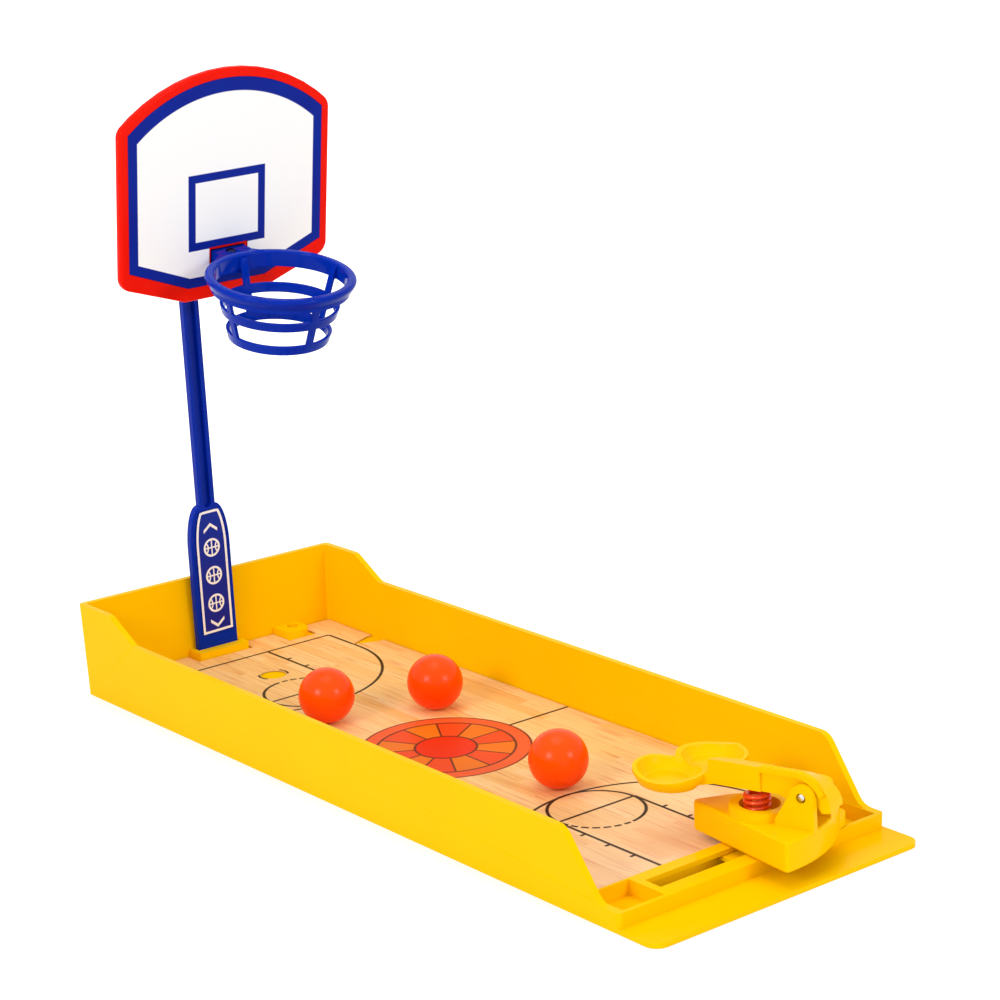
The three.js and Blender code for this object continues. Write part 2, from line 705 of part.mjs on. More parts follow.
function buildArm() {
  const sleeveTop = poleLength + fitGap + sleeveWall;
  const sleeve = standing(rectangle(
    -stemHalfWidth - fitGap - sleeveWall, stemHalfWidth + fitGap + sleeveWall,
    -fitGap - sleeveWall, poleThick + fitGap + sleeveWall, sleeveWall / 2),
  poleLength - sleeveDepth, sleeveTop);
  const pocket = standing(rectangle(
    -stemHalfWidth - fitGap, stemHalfWidth + fitGap, -fitGap, poleThick + fitGap),
  poleLength - sleeveDepth - overrun, poleLength + fitGap);
  const flangeFront = boardThick + fitGap;
  const flange = fromFront(rectangle(-flangeHalfWidth, flangeHalfWidth,
    cutoutLow - flangeMargin, cutoutHigh + flangeMargin, sleeveWall), flangeFront, flangeFront + flangeThick)
    .applyMatrix4(boardPlace);
  const tongue = fromFront(rectangle(-tongueHalfWidth, tongueHalfWidth,
    tongueMid - tongueThick / 2, tongueMid + tongueThick / 2), -tongueReach, flangeFront + flangeThick / 2)
    .applyMatrix4(hoopPlace).applyMatrix4(boardPlace);
  const tongueHole = rod(hoopScrewShankRadius + fitGap, tongueMid - tongueThick, tongueMid + tongueThick)
    .translate(0, -hoopScrewBack, 0).applyMatrix4(hoopPlace).applyMatrix4(boardPlace);
  const midLevel = (cutoutLow + cutoutHigh) / 2;
  const head = new THREE.Vector3(0, flangeFront + flangeThick / 2, midLevel).applyMatrix4(boardPlace);
  const footY = -fitGap - sleeveWall / 2;
  const footZ = poleLength - sleeveDepth / 2 + sleeveWall / 2;
  const bar = (rise, half) => fromSide(outline([
    [head.y, head.z + rise * strutHeadHeight / 2 - half], [footY, footZ + rise * strutFootHeight / 2 - half],
    [footY, footZ + rise * strutFootHeight / 2 + half], [head.y, head.z + rise * strutHeadHeight / 2 + half]
  ]), -strutHalfWidth, strutHalfWidth);
  const web = fromSide(outline([
    [head.y, head.z - strutHeadHeight / 2], [footY, footZ - strutFootHeight / 2],
    [footY, footZ + strutFootHeight / 2], [head.y, head.z + strutHeadHeight / 2]
  ]), -strutWeb / 2, strutWeb / 2);
  const whole = joined(solid(sleeve), solid(web), solid(bar(-1, strutFlange / 2)),
    solid(bar(1, strutFlange / 2)), solid(flange), solid(tongue));
  return cut(whole, solid(pocket), solid(tongueHole));
}

// Slide shoe: a plate under the rails with a collar that fills the slot's width
const railUnder = frontHeight - railThick;
const baseUnder = frontHeight + fitGap;
const slotMidY = (slotFrontY + slotRearY) / 2;
const collarHalfWidth = (slotRearY - slotFrontY) / 2 - fitGap;
const shoeTop = railUnder - fitGap;
const shoeLow = shoeTop - shoeThick;

function buildShoe() {
  const plate = standing(rectangle(
    -shoeHalfLength, shoeHalfLength, -shoeHalfWidth, shoeHalfWidth, outerCorner), shoeLow, shoeTop);
  const collar = standing(rectangle(-collarHalfLength, collarHalfLength, -collarHalfWidth, collarHalfWidth),
    shoeTop - shoeThick / 2, frontHeight);
  const bore = rod(postRadius + fitGap, shoeLow - overrun, frontHeight + overrun);
  return cut(joined(solid(plate), solid(collar)), solid(bore));
}

function buildWasher() {
  const top = shoeLow - fitGap;
  const disc = rod(washerRadius, top - washerThick, top);
  const hole = rod(swivelShankRadius + fitGap, top - washerThick - overrun, top + overrun);
  return cut(solid(disc), solid(hole));
}

function buildSwivelScrew() {
  const headTop = shoeLow - fitGap - washerThick - fitGap;
  const headLow = headTop - swivelHeadHeight;
  const tip = shoeLow + swivelShankReach;
  return solid(turned([
    [0, headLow], [swivelHeadRadius * headCrownShare, headLow], [swivelHeadRadius, headTop],
    [swivelShankRadius, headTop], [swivelShankRadius, tip], [0, tip + swivelShankRadius]
  ], smallFacets));
}

// Launcher base: a hollow wedge with a bowed front, a pointed nose and a round seat for the spring
function baseOutline(margin) {
  const bulgeRadius = (baseHalfWidth ** 2 + baseFrontBulge ** 2) / (2 * baseFrontBulge);
  const half = Math.asin(baseHalfWidth / bulgeRadius);
  const bow = arcPoints(0, baseCornerY - baseFrontBulge + bulgeRadius, bulgeRadius,
    -full / 4 - half, -full / 4 + half, arcSteps);
  const corners = [...bow, [baseBulgeX, baseBulgeY], [baseTipX, baseTipY]]
    .map(([x, y]) => new THREE.Vector2(x, y));
  const radii = bow.map((_, i) => (i === 0 || i === bow.length - 1 ? baseCorner : 0));
  const rounding = [...radii, 4 * baseCorner, tipCorner];
  return outline(inset(corners, margin).map(({ x, y }, i) => [x, y, rounding[i]]));
}

function ear(side) {
  const near = side * earInner;
  const far = side * (earInner + earThick);
  const crown = arcPoints(pivotY, pivotZ, earRadius, 0, full / 2, arcSteps);
  const profile = outline([
    [earFrontY, baseTop - baseWall / 2], [earRearY, baseTop - baseWall / 2], [earRearY, baseTop + baseWall],
    ...crown
  ]);
  return solid(fromSide(profile, Math.min(near, far), Math.max(near, far)));
}

function buildBase() {
  const block = standing(baseOutline(0), baseUnder, baseTop, baseEdge);
  const hollow = standing(baseOutline(baseWall), baseUnder - overrun, baseTop - baseWall);
  const tabEnd = baseHalfWidth + tabReach - tabRadius;
  const tab = rod(tabRadius, baseUnder, tabTop).translate(tabEnd, baseCornerY + tabRadius, 0);
  const tabBar = standing(rectangle(baseHalfWidth - tabRadius, tabEnd,
    baseCornerY, baseCornerY + 2 * tabRadius), baseUnder, tabTop);
  const seatRing = rod(bossRingOuter, baseTop - baseWall / 2, bossRingTop, ringFacets);
  const seat = rod(bossRingInner, springSeat, bossRingTop + overrun, ringFacets);
  const hub = rod(hubRadius, baseUnder, baseTop - baseWall / 2);
  const post = rod(postRadius, shoeLow + fitGap, baseTop - baseWall / 2);
  const pilot = rod(pilotRadius, shoeLow, shoeLow + swivelShankReach + pilotRadius + fitGap);
  const pinHole = rod(pinRadius + fitGap, -baseHalfWidth, baseHalfWidth)
    .rotateY(Math.PI / 2).translate(0, pivotY, pivotZ);
  const shell = joined(cut(solid(block), solid(hollow)), solid(tabBar), solid(tab));
  const whole = joined(shell, solid(seatRing), solid(hub), solid(post), ear(-1), ear(1));
  return cut(whole, solid(seat), solid(pilot), solid(pinHole));
}

function buildPin() {
  const reach = earInner + earThick;
  return solid(rod(pinRadius, -reach, reach).rotateY(Math.PI / 2).translate(0, pivotY, pivotZ));
}

// Launching arm: a beam on the pin with a curved finger tail and two open cups
function cupOuter(x, y) {
  const profile = [
    [0, cupUnder], [cupFootRadius, cupUnder], [(cupFootRadius + cupRadius) / 2, cupUnder + cupWall / 2],
    [cupRadius - cupWall / 2, cupUnder + 2 * cupWall], [cupRadius, cupRim - cupWall],
    [cupRadius, cupRim], [0, cupRim]
  ];
  return solid(turned(profile).translate(x, y, 0));
}

function cupInner(x, y) {
  const low = cupUnder + cupFloor;
  const profile = [
    [0, low], [cupFootRadius - cupWall, low], [(cupFootRadius + cupRadius) / 2 - cupWall, low + cupWall / 2],
    [cupRadius - 3 * cupWall / 2, low + 2 * cupWall], [cupRadius - cupWall, cupRim],
    [cupRadius - cupWall, cupRim + overrun], [0, cupRim + overrun]
  ];
  return solid(turned(profile).translate(x, y, 0));
}

function cupSaddle(y) {
  const ring = rod(cupSaddleRadius, leftCupX - cupRadius - overrun, rightCupX + cupRadius + overrun,
    2 * ringFacets);
  return ring.rotateY(Math.PI / 2).translate(0, y, cupRim - cupSaddleDrop + cupSaddleRadius);
}

function buildLaunchArm() {
  const tail = arcPoints(0, 0, 1, full / 4, full / 2, arcSteps).map(([along, up]) => [
    tailStartY + (tailStartY - armTailY) * along, armTailLow + (armTop - armTailLow) * up]);
  const profile = outline([
    [armFrontY, armUnder], [armFrontY, armTop], ...tail,
    [armTailY + tailPad, armTailLow - tailPad / 4], [pivotY - hubHalf - tailPad / 2, armHubLow + tailPad / 4],
    [pivotY - hubHalf, armHubLow], [pivotY + hubHalf, armHubLow], [earRearY, armUnder]
  ].reverse());
  const beam = solid(fromSide(profile, -armHalfWidth, armHalfWidth));
  const head = solid(fromSide(outline([
    [armHeadRearY, armUnder], [armFrontY, armUnder],
    [armFrontY, armTop - armEdge], [armHeadRearY, armTop - armEdge]
  ]), -armHeadHalfWidth, armHeadHalfWidth, armEdge));
  const neck = solid(standing(outline([
    [-armHeadHalfWidth, armFrontY - neckInset], [armHeadHalfWidth, armFrontY - neckInset],
    [rightCupX - cupFootRadius / 2, rightCupY], [leftCupX, leftCupY - cupFootRadius]
  ]), cupUnder + cupWall, cupRim));
  const nub = solid(rod(springNubRadius, armUnder - springNubHeight, armUnder + armEdge)
    .translate(0, springY, 0));
  const cups = joined(cupOuter(leftCupX, leftCupY), cupOuter(rightCupX, rightCupY), neck);
  const scooped = cut(cups, solid(cupSaddle(leftCupY)));
  const whole = joined(beam, head, nub, scooped);
  const pinHole = solid(rod(pinRadius + fitGap, -baseHalfWidth, baseHalfWidth)
    .rotateY(Math.PI / 2).translate(0, pivotY, pivotZ));
  return cut(whole, cupInner(leftCupX, leftCupY), cupInner(rightCupX, rightCupY), pinHole);
}

// Spring: one round wire wound into a helix, with an upright end on the seat and under the arm
function springPath() {
  const low = springSeat + fitGap;
  const high = armUnder - fitGap;
  const rise = high - low - 2 * springWire;
  const steps = springCurls * curlSteps;
  const path = [{ angle: 0, z: low }];
  for (let i = 0; i <= steps; i++) {
    path.push({ angle: full * i / curlSteps, z: low + springWire + rise * i / steps });
  }
  path.push({ angle: full * springCurls, z: high });
  return path.map(({ angle, z }) => ({
    out: new THREE.Vector3(Math.cos(angle), Math.sin(angle), 0),
    at: new THREE.Vector3(springRadius * Math.cos(angle), springY + springRadius * Math.sin(angle), z)
  }));
}

function springGap(path) {
  let least = Infinity;
  path.forEach((first, i) => path.slice(i + curlSteps / 2).forEach((second) => {
    least = Math.min(least, first.at.distanceTo(second.at) - springWire);
  }));
  return least;
}

function buildSpring() {
  const path = springPath();
  console.log(`spring: least gap between curls ${springGap(path).toFixed(2)} mm`);
  const positions = [];
  const index = [];
  path.forEach(({ out, at }, i) => {
    const before = path[Math.max(i - 1, 0)].at;
    const after = path[Math.min(i + 1, path.length - 1)].at;
    const ahead = new THREE.Vector3().subVectors(after, at).normalize();
    const behind = new THREE.Vector3().subVectors(at, before).normalize();
    const along = ahead.add(behind).normalize();
    const across = new THREE.Vector3().crossVectors(along, out).normalize();
    for (let k = 0; k < wireSides; k++) {
      const turn = full * k / wireSides;
      const point = at.clone().addScaledVector(out, springWire / 2 * Math.cos(turn))
        .addScaledVector(across, springWire / 2 * Math.sin(turn));
      positions.push(point.x, point.y, point.z);
    }
  });
  for (let i = 0; i < path.length - 1; i++) {
    for (let k = 0; k < wireSides; k++) {
      const [a, b] = [i * wireSides + k, i * wireSides + (k + 1) % wireSides];
      index.push(a, b, b + wireSides, a, b + wireSides, a + wireSides);
    }
  }
  const last = (path.length - 1) * wireSides;
  for (let k = 1; k < wireSides - 1; k++) {
    index.push(0, k + 1, k, last, last + k, last + k + 1);
  }
  const geometry = new THREE.BufferGeometry();
  geometry.setAttribute('position', new THREE.Float32BufferAttribute(positions, 3));
  geometry.setIndex(index);
  return solid(geometry);
}

// Assembly
const game = new THREE.Group();
game.add(piece('tray', buildTray(), yellow), piece('court_sheet', buildSheet(), woodPrint));

const ballPlaces = [[leftBallX, leftBallY], [rightBallX, rightBallY], [frontBallX, frontBallY]];
ballPlaces.forEach(([x, y], i) => {
  const ball = piece(`ball_${i + 1}`, buildBall(), orange);
  ball.position.set(x, y, sheetTop + restGap + ballRadius);
  game.add(ball);
});

const goal = new THREE.Group();
goal.position.set(poleX, poleFrontY, socketTop);
goal.rotation.set(radians(polePitch), radians(poleLean), 0, 'YXZ');
goal.add(piece('pole', buildPole(), blue), piece('pole_label', buildLabel(), bluePrint),
  piece('board_arm', buildArm(), blue));

const board = new THREE.Group();
board.applyMatrix4(boardPlace);
board.add(piece('backboard', buildBoard(), red), piece('board_print', buildPrint(), whitePrint));

const hoop = new THREE.Group();
hoop.applyMatrix4(hoopPlace);
hoop.add(piece('hoop', buildHoop(), blue), piece('hoop_screw', buildHoopScrew(), steel));
board.add(hoop);
goal.add(board);
game.add(goal);

const slider = new THREE.Group();
slider.position.set(sliderX, slotMidY, 0);
slider.add(piece('slide_shoe', buildShoe(), yellow));

const launcher = new THREE.Group();
launcher.rotation.z = radians(launcherTurn);
launcher.add(piece('launcher_base', buildBase(), yellow), piece('swivel_washer', buildWasher(), steel),
  piece('swivel_screw', buildSwivelScrew(), steel), piece('pivot_pin', buildPin(), steel),
  piece('launcher_arm', buildLaunchArm(), yellow), piece('launch_spring', buildSpring(), copperWire));
slider.add(launcher);
game.add(slider);

export default game;
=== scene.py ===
import math

import bmesh
import bpy
from mathutils import Matrix, Vector


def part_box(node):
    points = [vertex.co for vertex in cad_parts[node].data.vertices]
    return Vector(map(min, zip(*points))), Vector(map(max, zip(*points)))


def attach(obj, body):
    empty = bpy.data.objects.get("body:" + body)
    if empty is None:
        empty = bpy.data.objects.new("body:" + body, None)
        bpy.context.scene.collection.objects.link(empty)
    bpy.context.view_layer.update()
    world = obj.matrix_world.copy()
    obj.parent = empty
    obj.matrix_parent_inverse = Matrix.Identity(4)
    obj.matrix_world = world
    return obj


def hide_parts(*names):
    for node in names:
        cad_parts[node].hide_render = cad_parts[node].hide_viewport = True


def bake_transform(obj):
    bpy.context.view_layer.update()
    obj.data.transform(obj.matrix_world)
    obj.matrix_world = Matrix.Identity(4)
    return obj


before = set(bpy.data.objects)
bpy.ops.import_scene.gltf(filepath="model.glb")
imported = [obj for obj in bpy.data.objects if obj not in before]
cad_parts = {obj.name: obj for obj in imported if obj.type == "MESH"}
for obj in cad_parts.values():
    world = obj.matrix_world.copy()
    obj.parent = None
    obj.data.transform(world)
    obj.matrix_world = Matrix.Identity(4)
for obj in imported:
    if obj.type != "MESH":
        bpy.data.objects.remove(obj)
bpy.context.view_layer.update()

# Tray
# One glossy yellow polystyrene moulding: walls that lean outwards round a flat court, a box in front
# with the launcher's slot, a socket for the pole and a thin lip. The mould leaves its edges rounded.
tray_edge = 0.6
crease = math.radians(50)
millimetre = 0.001


def paint(red, green, blue):
    """A colour as it looks on the piece, from 0 to 255, as the light it sends back."""
    shares = [share / 255 for share in (red, green, blue)]
    return tuple(s / 12.92 if s <= 0.04045 else ((s + 0.055) / 1.055) ** 2.4 for s in shares) + (1,)


class Strand:
    """A value, colour or place on its way from one node of a finish to the next."""

    def __init__(self, tree, socket):
        self.tree = tree
        self.socket = socket

    def node(self, kind, sockets, out=0, stops=(), **settings):
        """Another node: its settings and colour stops first, then its sockets' values or strands."""
        made = self.tree.nodes.new(kind)
        for name, value in settings.items():
            setattr(made, name, value)
        for i, (place, colour) in enumerate(stops):
            ramp = made.color_ramp.elements
            stop = ramp[i] if i < len(ramp) else ramp.new(place)
            stop.position = place
            stop.color = colour
        for name, value in sockets.items():
            if isinstance(value, Strand):
                self.tree.links.new(value.socket, made.inputs[name])
            else:
                made.inputs[name].default_value = value
        return Strand(self.tree, made.outputs[out])

    def maths(self, operation, *others, **settings):
        """One Math node on this value and others."""
        sockets = dict(enumerate((self, *others)))
        return self.node("ShaderNodeMath", sockets, operation=operation, **settings)

    def __add__(self, other):
        return self.maths("ADD", other)

    __radd__ = __add__

    def __sub__(self, other):
        return self.maths("SUBTRACT", other)

    def __rsub__(self, other):
        return self.node("ShaderNodeMath", {0: other, 1: self}, operation="SUBTRACT")

    def __mul__(self, other):
        return self.maths("MULTIPLY", other)

    __rmul__ = __mul__

    def __truediv__(self, other):
        return self.maths("DIVIDE", other)

    def __rtruediv__(self, other):
        return self.node("ShaderNodeMath", {0: other, 1: self}, operation="DIVIDE")

    def __abs__(self):
        return self.maths("ABSOLUTE")

    def held(self):
        """The same value, kept between 0 and 1."""
        return self.maths("ADD", 0.0, use_clamp=True)

    def inside(self, soft):
        """1 where this distance is below zero and 0 above it, with a soft edge of that width."""
        return (0.5 - self / soft).held()

    def mixed(self, below, above):
        """One colour where this share is 0 and the other where it is 1."""
        return self.node("ShaderNodeMix", {0: self, 6: below, 7: above}, out=2, data_type="RGBA")

    def stretched(self, x, y, z):
        return self.node("ShaderNodeVectorMath", {0: self, 1: (x, y, z)}, operation="MULTIPLY")

    def cloud(self, size, detail=2.0, rough=0.5):
        """Soft noise between 0 and 1 whose lumps are about that many millimetres across."""
        return self.node("ShaderNodeTexNoise",
                         {"Vector": self, "Scale": 1 / size, "Detail": detail, "Roughness": rough})

    def axis(self, which):
        return self.node("ShaderNodeSeparateXYZ", {0: self}, out="XYZ".index(which))


def new_finish(name):
    """A finish, its surface node and the place on the piece in millimetres."""
    finish = bpy.data.materials.new(name)
    finish.use_nodes = True
    tree = finish.node_tree
    surface = tree.nodes["Principled BSDF"]
    bare = Strand(tree, tree.nodes.new("ShaderNodeTexCoord").outputs["Object"])
    spot = bare.node("ShaderNodeVectorMath", {0: bare, "Scale": 1 / millimetre}, operation="SCALE")
    return finish, surface, spot


def feed(surface, **strands):
    for name, strand in strands.items():
        strand.tree.links.new(strand.socket, surface.inputs[name.replace("_", " ")])


def plastic(name, colour, deep, shine, waves=0.1, gleam=0.025):
    """Glossy moulded plastic: its colour drifts a little, with flow waves, fine pits and faint scuffs."""
    finish, surface, spot = new_finish(name)
    drift = spot.cloud(38, 3)
    scuff = (spot.stretched(1.6, 0.35, 0.9).cloud(1.3, 5, 0.65) * 9 - 5.6).held()
    flow = spot.stretched(1, 0.3, 1).cloud(11, 2)
    pits = spot.cloud(0.7, 2)
    tint = (drift * 1.6 - 0.45).held().mixed(colour, deep)
    height = flow * waves + pits * 0.012 - scuff * 0.006
    bump = flow.node("ShaderNodeBump", {"Strength": 0.25, "Distance": 0.0006, "Height": height})
    feed(surface, Base_Color=(scuff * 0.12).mixed(tint, deep),
         Roughness=shine + drift * 0.06 + scuff * 0.12, Normal=bump)
    surface.inputs["Specular IOR Level"].default_value = gleam
    return finish


def rounded(form, edge):
    """Rounds the outward sharp edges of a form."""
    sharp = [e for e in form.edges
             if len(e.link_faces) == 2 and e.is_convex and e.calc_face_angle() > crease]
    bmesh.ops.bevel(form, geom=sharp, offset=edge, segments=3, profile=0.5, affect="EDGES",
                    clamp_overlap=True, loop_slide=True)
    return form


def from_solid(node, edge):
    """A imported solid's shape in millimetres, with its flats made whole and its edges rounded."""
    form = bmesh.new()
    form.from_mesh(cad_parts[node].data)
    bmesh.ops.scale(form, vec=(1 / millimetre,) * 3, verts=form.verts)
    bmesh.ops.remove_doubles(form, verts=form.verts, dist=0.004)
    bmesh.ops.dissolve_limit(form, angle_limit=math.radians(0.6), verts=form.verts, edges=form.edges)
    return rounded(form, edge) if edge else form


def even_normals(mesh):
    """Each corner's normal, led by its largest face, so that a flat stays flat up to its round edge."""
    faces = [(face.normal.copy(), face.area) for face in mesh.polygons]
    around = [[] for _ in mesh.vertices]
    for i, face in enumerate(mesh.polygons):
        for vertex in face.vertices:
            around[vertex].append(i)
    normals = []
    for face, (facing_way, _) in zip(mesh.polygons, faces):
        for vertex in face.vertices:
            total = Vector()
            for i in around[vertex]:
                way, area = faces[i]
                if way.dot(facing_way) > math.cos(crease):
                    total += way * area
            normals.append(total.normalized())
    return normals


def set_in_place(name, form, finishes, body, stands_for, place=None, bends=False):
    """Turns a form in millimetres into a smooth piece that rides on its body."""
    bmesh.ops.recalc_face_normals(form, faces=form.faces)
    if place:
        form.transform(place)
    bmesh.ops.scale(form, vec=(millimetre,) * 3, verts=form.verts)
    mesh = bpy.data.meshes.new(name)
    form.to_mesh(mesh)
    form.free()
    for finish in finishes:
        mesh.materials.append(finish)
    mesh.shade_smooth()
    if not bends:
        mesh.normals_split_custom_set(even_normals(mesh))
    thing = bpy.data.objects.new(name, mesh)
    bpy.context.scene.collection.objects.link(thing)
    if body:
        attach(thing, body)
    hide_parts(*stands_for)
    return thing


yellow = plastic("yellow_moulding", paint(255, 203, 0), paint(255, 196, 0), 0.18)
set_in_place("tray_moulding", from_solid("tray", tray_edge), [yellow], "frame", ["tray"])

# Court sheet
# A printed card laid loose on the tray's floor, cut out round the socket and its boss, with a
# round hole and a notch. The print is a pale wood floor with thin black court lines; towards the
# player's end the wood is washed paler with painted light.
court_middle = -4.4
line_half = 0.64
lane_half = 18.2
free_throw_y = 90
end_y = 145.5
throw_radius = 17.8
dash_middle = 2.2
dash_sweep = 0.72
dash_count = 28
arc_y = 123
arc_radius = 50.6
tick_ys = (105, 118, 131)
tick_out = 1.3
tick_half = 1.2
hole_x = -1.7
hole_y = 118.5
hole_mark_radius = 6.1
hole_mark_gap = 3.4
plank_width = 5.6
plank_length = 64
plank_start = -200
board_start = -600
board_stagger = 400
disc_x = 0.5
disc_y = -1.7
disc_radius = 33.5
disc_hub = 12
disc_band = 27
half_wedges = 6
ink_black = paint(22, 12, 8)

card_finish, card_surface, card_spot = new_finish("court_print")
across = card_spot.axis("X") - court_middle
along = card_spot.axis("Y")
end = abs(along)


def line(distance, half=line_half, soft=0.3):
    """Ink where the distance to a drawn line is under half its width."""
    return (abs(distance) - half).inside(soft)


def far_from(x, y):
    """Distance in the sheet's plane to a place at those offsets."""
    return (x * x + y * y).maths("SQRT")


def least(first, second):
    return first.maths("MINIMUM", second)


def most(first, second):
    return first.maths("MAXIMUM", second)


plank = ((across - plank_start) / plank_width).maths("FLOOR")
plank_chance = plank.node("ShaderNodeTexWhiteNoise", {"W": plank}, noise_dimensions="1D")
butt = (along + plank_chance * board_stagger - board_start) / plank_length
board = butt.maths("FLOOR") * 7.3 + plank
board_chance = board.node("ShaderNodeTexWhiteNoise", {"W": board}, noise_dimensions="1D")
grain_spot = card_spot.stretched(1, 0.035, 1)
board_shift = board.node("ShaderNodeCombineXYZ", {0: board * 3.7, 1: board * 1.9})
grain_spot = grain_spot.node("ShaderNodeVectorMath", {0: grain_spot, 1: board_shift},
                             operation="ADD")
streak = (grain_spot.cloud(0.9, 3, 0.55) * 6 - 3.15).held()
fine = grain_spot.cloud(0.45, 3, 0.6)
wood = board_chance.node("ShaderNodeValToRGB", {0: board_chance}, stops=[
    (0, paint(253, 208, 142)), (0.4, paint(251, 201, 128)), (0.75, paint(249, 193, 116)),
    (1, paint(245, 184, 102))])
wood = (streak * 0.7).mixed(wood, paint(216, 116, 42))
wood = ((fine - 0.45) * 0.6).held().mixed(wood, paint(255, 228, 184))
# Painted light: the wood is washed paler towards the player's end.
wood = ((-60 - along) / 90 * 0.4).held().mixed(wood, paint(255, 232, 212))

side = abs(across)
on_court = (along - end_y).inside(0.3)
lanes = line(side - lane_half) * (free_throw_y - end).inside(0.3) * on_court
free_line = line(end - free_throw_y) * (side - lane_half).inside(0.3)
to_throw = far_from(side, end - free_throw_y)
from_player = across * along.maths("SIGN") * -1
turn = (end - free_throw_y).maths("ARCTAN2", from_player)
gaps = (turn * dash_count).maths("SINE")
unbroken = most((dash_sweep - abs(turn - dash_middle)).inside(0.02), (gaps * -1 - 0.6).inside(0.3))
throw_circle = line(to_throw - throw_radius) * unbroken
to_arc = far_from(side, end - arc_y)
shot_arc = line(to_arc - arc_radius) * (end - arc_y).inside(0.3)
shot_side = line(side - arc_radius) * (arc_y - end).inside(0.3) * on_court
baseline = line(along - end_y) * (side - arc_radius).inside(0.3)
half_way = line(along)
tick_row = least(abs(end - tick_ys[0]), least(abs(end - tick_ys[1]), abs(end - tick_ys[2])))
from_tick = abs(side - lane_half - tick_out) - tick_half
ticks = (tick_row - line_half).inside(0.3) * from_tick.inside(0.3)
court_lines = most(most(most(lanes, free_line), most(throw_circle, shot_arc)),
                   most(most(shot_side, baseline), most(half_way, ticks)))
hole_mark = line(far_from(card_spot.axis("X") - hole_x, along - hole_y) - hole_mark_radius, 0.5)
hole_mark = hole_mark * (abs(along - hole_y) - hole_mark_gap).inside(0.3)
court_lines = most(court_lines, hole_mark)
marked = (court_lines * (0.88 + fine * 0.16)).held().mixed(wood, ink_black)

# The disc at half way is a plain wheel of orange wedges between rings.
to_disc = far_from(across - disc_x, along - disc_y)
wedge = (along - disc_y).maths("ARCTAN2", across - disc_x) * half_wedges / math.pi
whole_wedge = wedge.maths("FLOOR")
spoke = wedge - whole_wedge
wedge_pair = whole_wedge / 2
wedge_even = (wedge_pair - wedge_pair.maths("FLOOR") - 0.25).inside(0.01)
disc_tone = wedge_even.mixed(paint(240, 78, 28), paint(240, 118, 22))
disc_tone = (to_disc - disc_hub).inside(0.4).mixed(disc_tone, paint(236, 52, 14))
disc_tone = (disc_band - to_disc).inside(0.4).mixed(disc_tone, paint(244, 96, 44))
spoke_line = line(least(spoke, 1 - spoke) * to_disc * (math.pi / half_wedges), 0.4)
spoke_line = spoke_line * (disc_hub - to_disc).inside(0.4) * (to_disc - disc_band).inside(0.4)
disc_lines = most(most(line(to_disc - disc_radius + 0.5, 0.4), line(to_disc - disc_band, 0.5)),
                  most(line(to_disc - disc_hub, 0.5), spoke_line))
disc_tone = (disc_lines * 0.85).mixed(disc_tone, paint(70, 38, 24))
print_and_light = (to_disc - disc_radius).inside(0.3).mixed(marked, disc_tone)

# Only the face that looks up is printed; the card's cut edge is bare.
facing = card_spot.node("ShaderNodeNewGeometry", {}, out=1).axis("Z")
printed_side = (0.6 - facing).inside(0.1)
print_and_light = printed_side.mixed(paint(232, 196, 140), print_and_light)
card_bump = card_spot.node("ShaderNodeBump", {
    "Strength": 0.25, "Distance": 0.0004, "Height": card_spot.cloud(26, 2) + fine * 0.05})
feed(card_surface, Base_Color=print_and_light, Normal=card_bump,
     Roughness=0.34 + streak * 0.08 + card_spot.cloud(9) * 0.08)
card_surface.inputs["Specular IOR Level"].default_value = 0.05
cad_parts["court_sheet"].material_slots[0].material = card_finish

# Balls
# Three hard hollow balls of glossy orange plastic, each moulded with a faint flash line round
# its middle and a small gate mark, and left where it rolled.
ball_radius = 11.16
flash_height = 0.035
flash_half = 0.14
gate_radius = 0.7
ball_spots = {"ball_1": (-19.8, 53.8), "ball_2": (20.7, 36), "ball_3": (-0.4, -64.8)}
ball_turns = {"ball_1": (0.25, 0.2), "ball_2": (1.2, -0.7), "ball_3": (0.5, 0.9)}
ball_bodies = {"ball_1": "ball_one", "ball_2": "ball_two", "ball_3": "ball_three"}


def turned(profile, around, form=None, closed=False):
    """A form turned about Z from its profile of radius and height."""
    form = form or bmesh.new()
    rings = []
    for radius, height in profile:
        count = 1 if radius < 1e-6 else around
        rings.append([form.verts.new((radius * math.cos(math.tau * k / around),
                                      radius * math.sin(math.tau * k / around), height))
                      for k in range(count)])
    pairs = list(zip(rings, rings[1:])) + ([(rings[-1], rings[0])] if closed else [])
    for low, high in pairs:
        for k in range(around):
            corners = [low[k % len(low)], low[(k + 1) % len(low)],
                       high[(k + 1) % len(high)], high[k % len(high)]]
            form.faces.new(list(dict.fromkeys(corners)))
    return form


def ball_profile():
    steps = 48
    leans = [math.pi * i / steps for i in range(steps + 1)]
    points = [(ball_radius * math.sin(lean), -ball_radius * math.cos(lean)) for lean in leans]
    flash = [(ball_radius, -flash_half), (ball_radius + flash_height, 0), (ball_radius, flash_half)]
    points[steps // 2:steps // 2 + 1] = flash
    points[0] = (0, -ball_radius + 0.1)
    points.insert(1, (gate_radius, -ball_radius + 0.06))
    return points


orange = plastic("orange_ball", paint(255, 84, 0), paint(253, 70, 0), 0.2, 0.04, 0.14)
for name, (x, y) in ball_spots.items():
    lean, swing = ball_turns[name]
    low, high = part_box(name)
    middle = (low + high) / 2 / millimetre
    where = (Matrix.Translation((x, y, middle.z)) @ Matrix.Rotation(swing, 4, "Z")
             @ Matrix.Rotation(lean, 4, "X"))
    set_in_place(f"{name}_shell", turned(ball_profile(), 96), [orange], ball_bodies[name], [name],
                 where)

